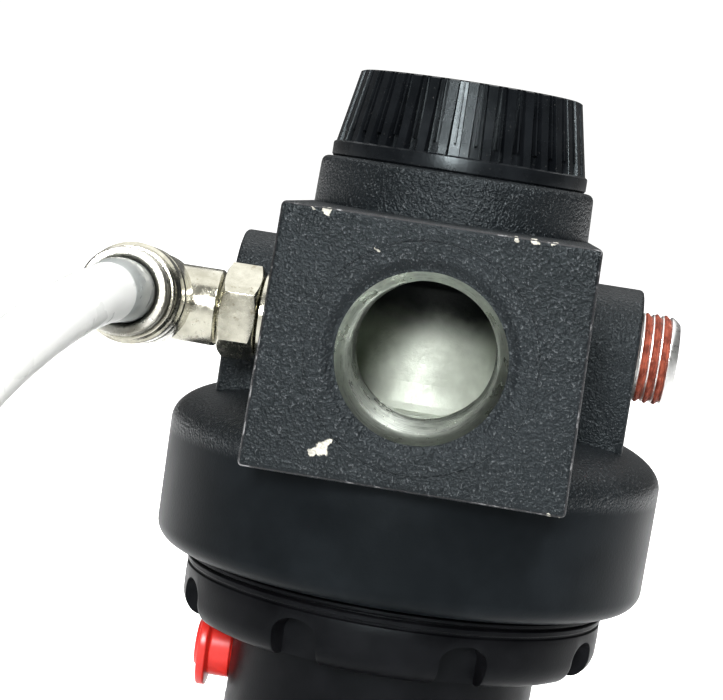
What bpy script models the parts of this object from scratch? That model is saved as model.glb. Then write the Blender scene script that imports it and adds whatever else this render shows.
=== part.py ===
"""Air pressure regulator standing on its adjusting knob, valve cap up.

Z runs up the main axis from the knob's end face. The main ports face -Y and +Y.
"""
import bmesh
import bpy
from math import atan2, cos, pi, radians, sin, sqrt, tau
from mathutils import Matrix, Vector

MM = 0.001
GAP = 0.3 * MM
MERGE = 0.00001

# Main casting
PORT_Z = 112.0 * MM
BLOCK_DEPTH = 43.5 * MM
BLOCK_TOP_HALF = 21.5 * MM
BLOCK_BOTTOM_HALF = 22.2 * MM
BLOCK_TOP = PORT_Z + 18.1 * MM
BLOCK_BOTTOM = PORT_Z - 18.0 * MM
BLOCK_EDGE = 0.8 * MM
COLLAR_R = 20.7 * MM
COLLAR_FOOT_R = 20.95 * MM
COLLAR_TOP = PORT_Z + 25.2 * MM
FLANGE_R = 37.4 * MM
FLANGE_SHOULDER = PORT_Z - 17.3 * MM
FLANGE_DOME_R = 25.0 * MM
FLANGE_DOME_RISE = 6.3 * MM
FLANGE_EDGE = PORT_Z - 32.6 * MM
FLANGE_BOTTOM = PORT_Z - 35.7 * MM
FLANGE_BORE_R = 31.4 * MM
LEDGE = PORT_Z - 22.0 * MM
LOWER_CHAMBER_R = 27.0 * MM
LOWER_CHAMBER_TOP = PORT_Z - 17.5 * MM
BOSS_END = 30.5 * MM
BOSS_R = 10.0 * MM
BOSS_Z = PORT_Z + 2.2 * MM
BOSS_FOOT = PORT_Z - 12.6 * MM
PLINTH_INSET = 0.9 * MM

# Passages
PORT_MOUTH_R = 11.65 * MM
PORT_THREAD_R = 10.4 * MM
PORT_BORE_R = 9.6 * MM
PORT_THREAD_END = 23.3 * MM
RECESS_R = 12.85 * MM
RECESS_DEPTH = 0.35 * MM
TOWER_R = 12.35 * MM
TOWER_TOP = PORT_Z + 7.0 * MM
CAST_HALF_WIDTH = 14.7 * MM
CAST_HALF_HEIGHT = 10.05 * MM
CHAMBER_R = 10.0 * MM
SEAT_Z = PORT_Z + 3.0 * MM
ORIFICE_R = 5.5 * MM
ORIFICE_FOOT = PORT_Z - 10.0 * MM
COLLAR_BORE_R = 16.4 * MM
COLLAR_BORE_FOOT = PORT_Z + 11.5 * MM

# Valve and valve cap
CAP_SEAT_R = 19.35 * MM
CAP_RIB_FOOT = PORT_Z + 27.8 * MM
CAP_TOP = PORT_Z + 38.5 * MM
CAP_FOOT_R = 19.0 * MM
CAP_TOP_R = 16.8 * MM
CAP_RIBS = 37
CAP_SKIRT_R = 16.1 * MM
CAP_SKIRT_FOOT = PORT_Z + 13.0 * MM
STEM_R = 2.2 * MM
POPPET_R = 7.8 * MM
O_RING_GROOVE_R = 14.4 * MM
O_RING_GROOVE_TOP = PORT_Z + 24.6 * MM
O_RING_GROOVE_FOOT = PORT_Z + 22.6 * MM
SPRING_POCKET_R = 8.6 * MM
GUIDE_POCKET_R = 4.5 * MM
GUIDE_POCKET_TOP = PORT_Z + 32.0 * MM

# Bonnet
BONNET_TOP = PORT_Z - 25.5 * MM
BONNET_INSIDE_R = 27.6 * MM
BONNET_THREAD_R = 31.0 * MM
SKIRT_R = 31.9 * MM
SKIRT_TOP = PORT_Z - 37.4 * MM
SKIRT_FOOT = PORT_Z - 46.2 * MM
NOTCHES = 8
NOTCH_START = radians(22.5)
NOTCH_WIDTH = 7.2 * MM
NOTCH_HEIGHT = 6.2 * MM
NOTCH_DEPTH_R = 27.6 * MM
NECK_R = 23.4 * MM
NECK_FOOT = PORT_Z - 62.0 * MM
GUIDE_R = 19.2 * MM
GUIDE_FOOT = PORT_Z - 88.0 * MM
SPRING_BORE_R = 15.6 * MM
SPRING_BORE_FOOT = PORT_Z - 84.0 * MM
KEY_R = 17.6 * MM
KEY_WIDTH = 5.6 * MM
DETENT_Z = PORT_Z - 79.0 * MM
VENT_Z = PORT_Z - 51.9 * MM
VENT_R = 4.4 * MM
VENT_FLAT_R = 7.2 * MM
VENT_FLAT_X = -22.7 * MM

# Spring, screw and knob
SPRING_R = 12.5 * MM
SPRING_WIRE_R = 1.5 * MM
SPRING_TURNS = 6.5
PLATE_FOOT = PORT_Z - 25.9 * MM
BUTTON_TOP = PORT_Z - 62.2 * MM
BUTTON_FOOT = PORT_Z - 68.2 * MM
SCREW_R = 4.0 * MM
SCREW_TOP = PORT_Z - 57.5 * MM
KNOB_R = 26.8 * MM
KNOB_TOP = PORT_Z - 70.5 * MM
KNOB_BORE_R = 20.6 * MM
KNOB_FLOOR = PORT_Z - 95.5 * MM
KNOB_RIBS = 24
COVER_R = 16.0 * MM

# Side fittings
AUX_Y = -21.0 * MM
AUX_Z = PORT_Z + 1.0 * MM
HEX_FLATS = 12.0 * MM
HEX_TURN = radians(5.0)
HEX_START = -24.4 * MM
HEX_END = -29.7 * MM
ELBOW_X = -40.2 * MM
ELBOW_TILT = radians(-4.5)
ELBOW_ARM_R = 5.55
TUBE_R = 3.9 * MM
TUBE_STOP = 6.0 * MM
TUBE_STEP = 8.0 * MM
OUTLET_AXIS = (0, -1, 0)
PLUG_R = 6.8 * MM
PLUG_END = 36.6 * MM
SOCKET_R = 3.9 * MM

FINE = 36
MEDIUM = 24
SMALL = 16
SPIN = radians(3.7)


def collection(name):
    made = bpy.data.collections.new(name)
    bpy.context.scene.collection.children.link(made)
    return made


def clear_scene():
    for old in list(bpy.data.objects):
        bpy.data.objects.remove(old, do_unlink=True)


def material(name, color, roughness, metallic=0.0):
    made = bpy.data.materials.new(name)
    made.use_nodes = True
    shader = made.node_tree.nodes["Principled BSDF"]
    shader.inputs["Base Color"].default_value = (*color, 1.0)
    shader.inputs["Roughness"].default_value = roughness
    shader.inputs["Metallic"].default_value = metallic
    return made


def place(name, mesh, home, finish=None, location=(0, 0, 0), parent=None):
    made = bpy.data.objects.new(name, mesh)
    home.objects.link(made)
    made.parent = parent
    made.location = location
    if finish:
        mesh.materials.append(finish)
    return made


def from_bmesh(name, bm):
    mesh = bpy.data.meshes.new(name)
    bmesh.ops.recalc_face_normals(bm, faces=bm.faces)
    bm.to_mesh(mesh)
    bm.free()
    return mesh


def along(axis):
    """Rotation that takes local +Z to the given axis, with a small spin so that facets never line up."""
    return Vector(axis).to_track_quat("Z", "Y").to_matrix().to_4x4() @ Matrix.Rotation(SPIN, 4, "Z")


def cylinder_mesh(name, r1, r2, start, end, segments):
    """Cylinder or cone between two points, r1 at the start."""
    start, end = Vector(start), Vector(end)
    span = end - start
    bm = bmesh.new()
    bmesh.ops.create_cone(bm, cap_ends=True, segments=segments, radius1=r1, radius2=r2, depth=span.length)
    turn = Matrix.Translation((start + end) / 2) @ along(span)
    bmesh.ops.transform(bm, matrix=turn, verts=bm.verts)
    return from_bmesh(name, bm)


def box_mesh(name, low, high):
    low, high = Vector(low), Vector(high)
    bm = bmesh.new()
    bmesh.ops.create_cube(bm, size=1.0)
    bmesh.ops.scale(bm, vec=high - low, verts=bm.verts)
    bmesh.ops.translate(bm, vec=(low + high) / 2, verts=bm.verts)
    return from_bmesh(name, bm)


def turned(name, profile, home, finish, steps, closed=True, location=(0, 0, 0), parent=None):
    """Solid of revolution about local Z from (radius, height) points, outer side top to bottom."""
    bm = bmesh.new()
    points = [bm.verts.new((r, 0.0, z)) for r, z in profile]
    for first, second in zip(points, points[1:]):
        bm.edges.new((first, second))
    if closed:
        bm.edges.new((points[-1], points[0]))
    mesh = bpy.data.meshes.new(name)
    bm.to_mesh(mesh)
    bm.free()
    made = place(name, mesh, home, finish, location, parent)
    screw = made.modifiers.new("Turn", "SCREW")
    screw.steps = steps
    screw.render_steps = steps
    screw.use_merge_vertices = True
    screw.merge_threshold = MERGE
    screw.use_smooth_shade = False
    return made


def aim(made, axis):
    """Turns an object so that its own Z lies along the axis."""
    made.rotation_mode = "QUATERNION"
    made.rotation_quaternion = along(axis).to_quaternion()
    return made


def ring(name, major, minor, home, finish, location, axis=(0, 0, 1), parent=None, major_steps=MEDIUM):
    bpy.ops.mesh.primitive_torus_add(
        major_radius=major, minor_radius=minor, major_segments=major_steps, minor_segments=6
    )
    made = bpy.context.object
    for old in list(made.users_collection):
        old.objects.unlink(made)
    home.objects.link(made)
    made.name = name
    made.data.name = name
    made.data.materials.append(finish)
    made.parent = parent
    made.location = location
    return aim(made, axis)


def boolean(target, tool, operation="DIFFERENCE"):
    step = target.modifiers.new(operation.title(), "BOOLEAN")
    step.operation = operation
    step.solver = "EXACT"
    step.object = tool
    return step


def tool(name, mesh, home, parent=None):
    made = place(name, mesh, home, parent=parent)
    made.hide_render = True
    made.display_type = "WIRE"
    return made


def as_tool(made):
    made.hide_render = True
    made.display_type = "WIRE"
    return made


def curve_tube(name, points, radius, resolution, home, finish, parent=None):
    data = bpy.data.curves.new(name, "CURVE")
    data.dimensions = "3D"
    data.bevel_depth = radius
    data.bevel_resolution = resolution
    data.use_fill_caps = True
    spline = data.splines.new("POLY")
    spline.points.add(len(points) - 1)
    for point, place_at in zip(spline.points, points):
        point.co = (*place_at, 1.0)
    data.materials.append(finish)
    made = bpy.data.objects.new(name, data)
    home.objects.link(made)
    made.parent = parent
    return made


def coil(name, radius, wire, low, high, turns, home, finish, per_turn=11):
    """Compression spring whose end turns lie flat."""
    low = low + wire
    high = high - wire
    count = int(turns * per_turn)
    flat = 0.75 * per_turn
    points = []
    for i in range(count + 1):
        angle = tau * i / per_turn
        share = min(max((i - flat) / (count - 2 * flat), 0.0), 1.0)
        seat = 2.2 * wire
        at_end = min(i, flat) / flat * seat - min(count - i, flat) / flat * seat + seat
        rise = low + at_end / 2 + share * (high - low - seat)
        points.append((radius * cos(angle), radius * sin(angle), rise))
    return curve_tube(name, points, wire, 1, home, finish)


def outline_mesh(name, outline, half_depth):
    """Flat outline in the XY plane, made solid by half its depth each way along Z."""
    data = bpy.data.curves.new(name, "CURVE")
    data.dimensions = "2D"
    data.fill_mode = "BOTH"
    data.extrude = half_depth
    spline = data.splines.new("POLY")
    spline.points.add(len(outline) - 1)
    spline.use_cyclic_u = True
    for point, (x, y) in zip(spline.points, outline):
        point.co = (x, y, 0, 1)
    shape = bpy.data.objects.new(name, data)
    bpy.context.scene.collection.objects.link(shape)
    ready = shape.evaluated_get(bpy.context.evaluated_depsgraph_get())
    mesh = bpy.data.meshes.new_from_object(ready)
    bpy.data.objects.remove(shape, do_unlink=True)
    bm = bmesh.new()
    bm.from_mesh(mesh)
    bmesh.ops.remove_doubles(bm, verts=bm.verts, dist=MERGE)
    return from_bmesh(name, bm)


def smooth_route(points, spacing):
    """Points evenly spread on a Catmull-Rom curve through the route."""
    ends = [2 * Vector(points[0]) - Vector(points[1]), *map(Vector, points)]
    ends.append(2 * Vector(points[-1]) - Vector(points[-2]))
    dense = []
    for a, b, c, d in zip(ends, ends[1:], ends[2:], ends[3:]):
        for step in range(20):
            t = step / 20
            bend = (2 * a - 5 * b + 4 * c - d) * t**2 + (3 * b - a - 3 * c + d) * t**3
            dense.append(0.5 * (2 * b + (c - a) * t + bend))
    dense.append(ends[-2])
    length = sum((q - p).length for p, q in zip(dense, dense[1:]))
    count = round(length / spacing)
    made, walked, target = [dense[0]], 0.0, length / count
    for p, q in zip(dense, dense[1:]):
        span = (q - p).length
        while walked + span >= target - 1e-9 and len(made) < count:
            made.append(p.lerp(q, (target - walked) / span))
            target += length / count
        walked += span
    made.append(dense[-1])
    return made


def arc(centre, radii, start, end, steps):
    """Points on an ellipse's arc in the profile plane, angles in degrees."""
    angles = [radians(start + (end - start) * i / steps) for i in range(steps + 1)]
    return [(centre[0] + radii[0] * cos(a), centre[1] + radii[1] * sin(a)) for a in angles]


# The pieces


def block_mesh():
    bm = bmesh.new()
    bmesh.ops.create_cube(bm, size=2.0)
    for vert in bm.verts:
        half = BLOCK_TOP_HALF if vert.co.z > 0 else BLOCK_BOTTOM_HALF
        height = BLOCK_TOP if vert.co.z > 0 else BLOCK_BOTTOM
        vert.co = (vert.co.x * half, vert.co.y * BLOCK_DEPTH, height)
    return from_bmesh("block", bm)


def make_body(home, tools, finish):
    dome = arc((FLANGE_DOME_R, FLANGE_SHOULDER), (FLANGE_R - FLANGE_DOME_R, FLANGE_DOME_RISE), 90, 0, 4)
    edge = arc((FLANGE_R - 3.5 * MM, FLANGE_EDGE), (3.3 * MM, 3.1 * MM), 0, -90, 3)
    profile = [
        (0, COLLAR_TOP),
        (COLLAR_R - 0.8 * MM, COLLAR_TOP),
        (COLLAR_R, COLLAR_TOP - 0.8 * MM),
        (COLLAR_FOOT_R, BLOCK_TOP),
        (COLLAR_FOOT_R, FLANGE_SHOULDER + FLANGE_DOME_RISE),
        *dome,
        *edge,
        (0, FLANGE_BOTTOM),
    ]
    body = turned("body", profile, home, finish, FINE, closed=False)
    block = tool("block_form", block_mesh(), tools)
    bevel = block.modifiers.new("Edges", "BEVEL")
    bevel.width = BLOCK_EDGE
    bevel.segments = 2
    boss = tool("boss_form", boss_mesh("boss_form"), tools)
    inset = BOSS_END - PLINTH_INSET
    side = BOSS_R - PLINTH_INSET
    plinth_low = (-inset, -side, FLANGE_SHOULDER)
    plinth = tool("plinth_form", box_mesh("plinth_form", plinth_low, (inset, side, BOSS_FOOT + MM)), tools)
    for form in (block, boss, plinth):
        boolean(body, form, "UNION")
    for form in body_voids(tools):
        boolean(body, form)
    return body


def boss_mesh(name):
    """Both gauge bosses as one arch-shaped bar across the casting."""
    drop = BOSS_FOOT - BOSS_Z
    outline = [(-BOSS_R, drop), (BOSS_R, drop), *arc((0, 0), (BOSS_R, BOSS_R), 0, 180, 10)]
    mesh = outline_mesh(name, outline, BOSS_END)
    upright = Matrix.Rotation(radians(90), 4, "Z") @ Matrix.Rotation(radians(90), 4, "X")
    mesh.transform(Matrix.Translation((0, 0, BOSS_Z)) @ upright)
    return mesh


def port_void(tools, side, label):
    """Painted recess, chamfered mouth and threaded bore on one face, as one cutter."""
    profile = [
        (0, 2 * MM),
        (RECESS_R, 2 * MM),
        (RECESS_R, -RECESS_DEPTH),
        (PORT_MOUTH_R, -RECESS_DEPTH),
        (PORT_THREAD_R, -1.6 * MM),
        (PORT_BORE_R, -PORT_THREAD_END),
        (0, -PORT_THREAD_END),
    ]
    location = (0, side * BLOCK_DEPTH, PORT_Z)
    void = as_tool(turned(label, profile, tools, None, MEDIUM, closed=False, location=location))
    return aim(void, (0, side, 0))


def cast_void(tools, side, label):
    """Cast space between a port and the valve tower."""
    low = min(side * 4.5 * MM, side * (PORT_THREAD_END + 1.5 * MM))
    high = max(side * 4.5 * MM, side * (PORT_THREAD_END + 1.5 * MM))
    mesh = box_mesh(
        label,
        (-CAST_HALF_WIDTH, low, PORT_Z - CAST_HALF_HEIGHT),
        (CAST_HALF_WIDTH, high, PORT_Z + CAST_HALF_HEIGHT),
    )
    void = tool(label, mesh, tools)
    rounding = void.modifiers.new("Corners", "BEVEL")
    rounding.width = 5 * MM
    rounding.segments = 3
    return void


def body_voids(tools):
    """Every hollow in the casting, in the order that they are cut."""
    under = [
        (0, LOWER_CHAMBER_TOP),
        (LOWER_CHAMBER_R, LOWER_CHAMBER_TOP),
        (LOWER_CHAMBER_R, LEDGE),
        (FLANGE_BORE_R, LEDGE),
        (FLANGE_BORE_R, FLANGE_BOTTOM - MM),
        (0, FLANGE_BOTTOM - MM),
    ]
    chamber = as_tool(turned("lower_chamber", under, tools, None, FINE, closed=False))
    made = [chamber, port_void(tools, -1, "inlet"), port_void(tools, 1, "outlet")]
    for side, label in ((-1, "inlet_cast"), (1, "outlet_cast")):
        void = cast_void(tools, side, label)
        top = TOWER_TOP if side < 0 else PORT_Z + 20 * MM
        tower = tool(
            label + "_tower",
            cylinder_mesh(label + "_tower", TOWER_R, TOWER_R, (0, 0, PORT_Z - 20 * MM), (0, 0, top), FINE),
            tools,
        )
        boolean(void, tower)
        made.append(void)

    def bore(name, radius, start, end, segments=SMALL):
        made.append(tool(name, cylinder_mesh(name, radius, radius, start, end, segments), tools))

    bore("collar_bore", COLLAR_BORE_R, (0, 0, COLLAR_BORE_FOOT), (0, 0, COLLAR_TOP + MM), FINE)
    bore("valve_chamber", CHAMBER_R, (0, 0, SEAT_Z), (0, 0, COLLAR_BORE_FOOT + MM), MEDIUM)
    bore("orifice", ORIFICE_R, (0, 0, ORIFICE_FOOT), (0, 0, SEAT_Z + MM), SMALL)
    bore("stem_guide", STEM_R + GAP, (0, 0, LOWER_CHAMBER_TOP - MM), (0, 0, ORIFICE_FOOT + MM), 16)
    bore("outlet_passage", 4.6 * MM, (0, 0, PORT_Z - 4.5 * MM), (0, 15 * MM, PORT_Z - 4.5 * MM), SMALL)
    bore("feedback_hole", 1.2 * MM, (0, 19 * MM, PORT_Z - 20 * MM), (0, 19 * MM, PORT_Z - 8 * MM), 12)
    bore("right_gauge_port", PLUG_R + GAP, (19 * MM, 0, BOSS_Z), (BOSS_END + MM, 0, BOSS_Z), MEDIUM)
    bore("left_gauge_port", PLUG_R + GAP, (-BOSS_END - MM, 0, BOSS_Z), (-19 * MM, 0, BOSS_Z), MEDIUM)
    bore("aux_port", 5.0 * MM, (-BLOCK_BOTTOM_HALF - MM, AUX_Y, AUX_Z), (-8 * MM, AUX_Y, AUX_Z), SMALL)
    return made


def ribbed_cone(foot, top, foot_r, top_r, ribs, depth):
    """Tapered ring of ribs, narrower at the top, with V grooves that end at the rim."""
    bm = bmesh.new()
    height = top - foot
    bmesh.ops.create_cone(bm, cap_ends=True, segments=2 * ribs, radius1=foot_r, radius2=top_r, depth=height)
    for vert in bm.verts:
        place_in_turn = round(atan2(vert.co.y, vert.co.x) / (pi / ribs))
        if place_in_turn % 2 and vert.co.z < 0:
            vert.co.xy *= 1 - depth / foot_r
    bmesh.ops.translate(bm, vec=(0, 0, (foot + top) / 2), verts=bm.verts)
    return from_bmesh("ribbed_cone", bm)


def make_valve_cap(home, tools, finish):
    overlap = 0.05 * MM
    cone = ribbed_cone(CAP_RIB_FOOT - overlap, CAP_TOP, CAP_FOOT_R, CAP_TOP_R, CAP_RIBS, 1.6 * MM)
    cap = place("valve_cap", cone, home, finish)
    seat = COLLAR_TOP + GAP
    profile = [
        (0, CAP_RIB_FOOT),
        (CAP_SEAT_R, CAP_RIB_FOOT),
        (CAP_SEAT_R, seat),
        (CAP_SKIRT_R, seat),
        (CAP_SKIRT_R, O_RING_GROOVE_TOP),
        (O_RING_GROOVE_R, O_RING_GROOVE_TOP),
        (O_RING_GROOVE_R, O_RING_GROOVE_FOOT),
        (CAP_SKIRT_R, O_RING_GROOVE_FOOT),
        (CAP_SKIRT_R, CAP_SKIRT_FOOT),
        (SPRING_POCKET_R, CAP_SKIRT_FOOT),
        (SPRING_POCKET_R, PORT_Z + 24 * MM),
        (GUIDE_POCKET_R, PORT_Z + 25 * MM),
        (GUIDE_POCKET_R, GUIDE_POCKET_TOP),
        (0, GUIDE_POCKET_TOP),
    ]
    foot = as_tool(turned("cap_foot_form", profile, tools, None, FINE, closed=False))
    boolean(cap, foot, "UNION")
    pocket_foot = (0, 0, CAP_RIB_FOOT - 2 * MM)
    pocket_top = (0, 0, GUIDE_POCKET_TOP)
    pocket = cylinder_mesh("cap_pocket_form", GUIDE_POCKET_R, GUIDE_POCKET_R, pocket_foot, pocket_top, SMALL)
    boolean(cap, tool("cap_pocket_form", pocket, tools))


def make_valve(home, finishes):
    ring("cap_o_ring", 15.45 * MM, 0.7 * MM, home, finishes["rubber"], (0, 0, PORT_Z + 23.6 * MM))
    poppet = [
        (0, PORT_Z + 18 * MM),
        (4.1 * MM, PORT_Z + 18 * MM),
        (4.1 * MM, PORT_Z + 8 * MM),
        (POPPET_R, PORT_Z + 7.6 * MM),
        (POPPET_R, SEAT_Z + 2.7 * MM),
        (STEM_R + 0.9 * MM, SEAT_Z + 2.7 * MM),
        (STEM_R, SEAT_Z + 2.2 * MM),
        (STEM_R, PORT_Z - 18.3 * MM),
        (STEM_R - 0.4 * MM, PORT_Z - 18.7 * MM),
        (0, PORT_Z - 18.7 * MM),
    ]
    turned("valve_poppet", poppet, home, finishes["brass"], SMALL, closed=False)
    disc = [(7.6, 2.4), (7.6, 0.4), (3.4, 0.4), (3.4, 2.4)]
    turned("valve_disc", [(r * MM, SEAT_Z + z * MM) for r, z in disc], home, finishes["rubber"], SMALL)
    low, high = PORT_Z + 8.3 * MM, PORT_Z + 23.7 * MM
    coil("valve_spring", 6.2 * MM, 0.55 * MM, low, high, 6, home, finishes["steel"], 10)


def make_diaphragm(home, finishes):
    face = PORT_Z - 22.4 * MM
    thick = 1.5 * MM
    wave = arc((22.3 * MM, face - 0.2 * MM), (2.8 * MM, 2.2 * MM), 180, 0, 4)
    under = arc((22.3 * MM, face - thick), (1.3 * MM, 1.2 * MM), 0, 180, 3)
    profile = [(4.0 * MM, face), (19.3 * MM, face), *wave, (25.4 * MM, face), (31.0 * MM, face)]
    profile += [(31.0 * MM, face - thick), *under, (4.0 * MM, face - thick)]
    turned("diaphragm", profile, home, finishes["diaphragm"], MEDIUM)
    plate = [(18.5, -24.3), (18.5, -25.9), (9.5, -25.9), (9.0, -28.2), (4.0, -28.2), (4.0, -24.3)]
    turned("diaphragm_plate", at_port(plate), home, finishes["steel"], MEDIUM)
    washer = [(12.0, -21.0), (12.0, -22.1), (4.0, -22.1), (4.0, -21.0)]
    turned("hub_washer", at_port(washer), home, finishes["steel"], MEDIUM)
    hub = [(3.2, -19.0), (3.6, -19.5), (8.0, -19.5), (8.0, -20.7), (3.7, -20.7)]
    hub += [(3.7, -30.0), (1.2, -30.0), (1.2, -19.0)]
    turned("relief_hub", at_port(hub), home, finishes["brass"], SMALL)
    slip = [(30.9, -24.2), (30.9, -25.2), (27.9, -25.2), (27.9, -24.2)]
    turned("slip_ring", at_port(slip), home, finishes["white_plastic"], MEDIUM)


def at_port(points):
    """Profile points in millimetres from the port axis, in metres."""
    return [(r * MM, PORT_Z + z * MM) for r, z in points]


def notch_mesh(name, angle):
    """Arch-shaped pocket, open below, seen from outside the skirt."""
    half = NOTCH_WIDTH / 2
    low = SKIRT_FOOT - 2 * MM
    spring_line = SKIRT_FOOT + NOTCH_HEIGHT - half * 0.7
    outline = [(-half, low), (half, low), *arc((0, spring_line), (half, half * 0.7), 0, 180, 4)]
    mesh = outline_mesh(name, outline, 5 * MM)
    stand = Matrix.Rotation(radians(90), 4, "X")
    push = Matrix.Translation((0, -(NOTCH_DEPTH_R + 5 * MM), 0))
    mesh.transform(Matrix.Rotation(angle, 4, "Z") @ push @ stand)
    return mesh


def make_bonnet(home, tools, finish):
    edge = arc((SKIRT_R - 2.6 * MM, SKIRT_FOOT + 3.4 * MM), (2.6 * MM, 3.4 * MM), 0, -90, 3)
    profile = [
        (BONNET_THREAD_R, BONNET_TOP),
        (BONNET_THREAD_R, FLANGE_BOTTOM - 0.5 * MM),
        (SKIRT_R + 0.4 * MM, FLANGE_BOTTOM - 0.5 * MM),
        (SKIRT_R + 0.4 * MM, FLANGE_BOTTOM - 1.1 * MM),
        (SKIRT_R - 0.6 * MM, FLANGE_BOTTOM - 1.1 * MM),
        (SKIRT_R - 0.6 * MM, SKIRT_TOP),
        *edge,
        (NECK_R, SKIRT_FOOT),
        (NECK_R - 0.3 * MM, NECK_FOOT + MM),
        (NECK_R - 1.2 * MM, NECK_FOOT),
        (GUIDE_R, NECK_FOOT),
        (GUIDE_R, DETENT_Z + 1.2 * MM),
        (GUIDE_R - 1.3 * MM, DETENT_Z + 1.2 * MM),
        (GUIDE_R - 1.3 * MM, DETENT_Z - 1.2 * MM),
        (GUIDE_R, DETENT_Z - 1.2 * MM),
        (GUIDE_R, GUIDE_FOOT + 0.5 * MM),
        (GUIDE_R - 0.5 * MM, GUIDE_FOOT),
        (SCREW_R + 0.3 * MM, GUIDE_FOOT),
        (SCREW_R + 0.3 * MM, SPRING_BORE_FOOT),
        (SPRING_BORE_R, SPRING_BORE_FOOT),
        (SPRING_BORE_R, SKIRT_FOOT),
        (BONNET_INSIDE_R, PORT_Z - 34 * MM),
        (BONNET_INSIDE_R, BONNET_TOP),
    ]
    bonnet = turned("bonnet", profile, home, finish, FINE)
    for i in range(NOTCHES):
        angle = NOTCH_START + i * tau / NOTCHES
        name = f"notch_{i}"
        boolean(bonnet, tool(name, notch_mesh(name, angle), tools))
    key_low = (-KEY_R, -KEY_WIDTH / 2, PORT_Z - 72 * MM)
    key_high = (KEY_R, KEY_WIDTH / 2, PORT_Z - 40 * MM)
    boolean(bonnet, tool("key_form", box_mesh("key_form", key_low, key_high), tools))
    outside = (-NECK_R - 10 * MM, 0, VENT_Z)
    vent = cylinder_mesh("vent_form", VENT_R, VENT_R, outside, (-10 * MM, 0, VENT_Z), SMALL)
    boolean(bonnet, tool("vent_form", vent, tools))
    inside = (VENT_FLAT_X, 0, VENT_Z)
    flat = cylinder_mesh("vent_flat_form", VENT_FLAT_R, VENT_FLAT_R, outside, inside, MEDIUM)
    boolean(bonnet, tool("vent_flat_form", flat, tools))


def make_bonnet_plug(home, finish):
    profile = [
        (0, 5.6 * MM),
        (3.4 * MM, 5.6 * MM),
        (3.8 * MM, 5.2 * MM),
        (6.5 * MM, 4.8 * MM),
        (6.5 * MM, 3.5 * MM),
        (4.8 * MM, 3.2 * MM),
        (4.8 * MM, 0),
        (4.1 * MM, 0),
        (3.8 * MM, -5.5 * MM),
        (0, -5.5 * MM),
    ]
    location = (VENT_FLAT_X - GAP, 0, VENT_Z)
    plug = turned("bonnet_plug", profile, home, finish, SMALL, closed=False, location=location)
    aim(plug, (-1, 0, 0))


def make_drive(home, tools, finishes):
    low, high = BUTTON_TOP + GAP, PLATE_FOOT - GAP
    coil("range_spring", SPRING_R, SPRING_WIRE_R, low, high, SPRING_TURNS, home, finishes["steel"])
    button = [(4.3, -60.0), (10.0, -60.0), (10.5, -62.2), (15.2, -62.2), (15.2, -68.2), (4.3, -68.2)]
    nut = turned("spring_button", at_port(button), home, finishes["steel"], MEDIUM)
    ears = box_mesh(
        "ear_form",
        (-KEY_R + GAP, -KEY_WIDTH / 2 + GAP, BUTTON_TOP - 3.3 * MM),
        (KEY_R - GAP, KEY_WIDTH / 2 - GAP, BUTTON_TOP - 0.3 * MM),
    )
    boolean(nut, tool("ear_form", ears, tools), "UNION")
    foot, top = (0, 0, BUTTON_FOOT - 2 * MM), (0, 0, SCREW_TOP)
    bore = cylinder_mesh("nut_bore_form", SCREW_R + GAP, SCREW_R + GAP, foot, top, SMALL)
    boolean(nut, tool("nut_bore_form", bore, tools))
    screw = [
        (0, -57.5),
        (3.6, -57.5),
        (4.0, -57.9),
        (4.0, -79.4),
        (7.5, -79.4),
        (7.5, -82.4),
        (4.0, -82.4),
        (4.0, -103.6),
        (3.2, -103.6),
        (3.2, -104.8),
        (4.0, -104.8),
        (4.0, -105.4),
        (3.6, -105.8),
        (0, -105.8),
    ]
    turned("adjusting_screw", at_port(screw), home, finishes["steel"], SMALL, closed=False)
    washer = [(8.5, -82.7), (8.5, -83.7), (4.3, -83.7), (4.3, -82.7)]
    turned("thrust_washer", at_port(washer), home, finishes["white_plastic"], SMALL)
    ring("detent_ring", 18.95 * MM, 0.7 * MM, home, finishes["steel"], (0, 0, DETENT_Z))
    clip = [(6.2, -103.9), (6.2, -104.5), (3.5, -104.5), (3.5, -103.9)]
    turned("knob_clip", at_port(clip), home, finishes["steel"], SMALL)


def make_knob(home, tools, finish, cover_finish):
    bm = bmesh.new()
    segments = 3 * KNOB_RIBS
    bmesh.ops.create_cone(
        bm, cap_ends=True, segments=segments, radius1=KNOB_R, radius2=KNOB_R - 0.6 * MM, depth=KNOB_TOP
    )
    for vert in bm.verts:
        turn = round(atan2(vert.co.y, vert.co.x) / (tau / segments))
        if turn % 3 == 0:
            vert.co.xy *= 1 - 0.9 * MM / KNOB_R
    bmesh.ops.translate(bm, vec=(0, 0, KNOB_TOP / 2), verts=bm.verts)
    knob = place("knob", from_bmesh("knob", bm), home, finish)

    def hollow(name, radius, low, high, segments):
        mesh = cylinder_mesh(name, radius, radius, (0, 0, low), (0, 0, high), segments)
        boolean(knob, tool(name, mesh, tools))

    hollow("knob_bore_form", KNOB_BORE_R, KNOB_FLOOR, KNOB_TOP + MM, FINE)
    hollow("knob_hub_form", SCREW_R + GAP, -MM, KNOB_TOP, SMALL)
    hollow("knob_end_form", COVER_R + GAP, -MM, 1.9 * MM, MEDIUM)
    hollow("clip_form", 8.0 * MM, MM, PORT_Z - 103.6 * MM, SMALL)
    cover = [(0, 1.6 * MM), (COVER_R, 1.6 * MM), (COVER_R, 0), (0, 0)]
    turned("knob_cover", cover, home, cover_finish, MEDIUM, closed=False)


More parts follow.
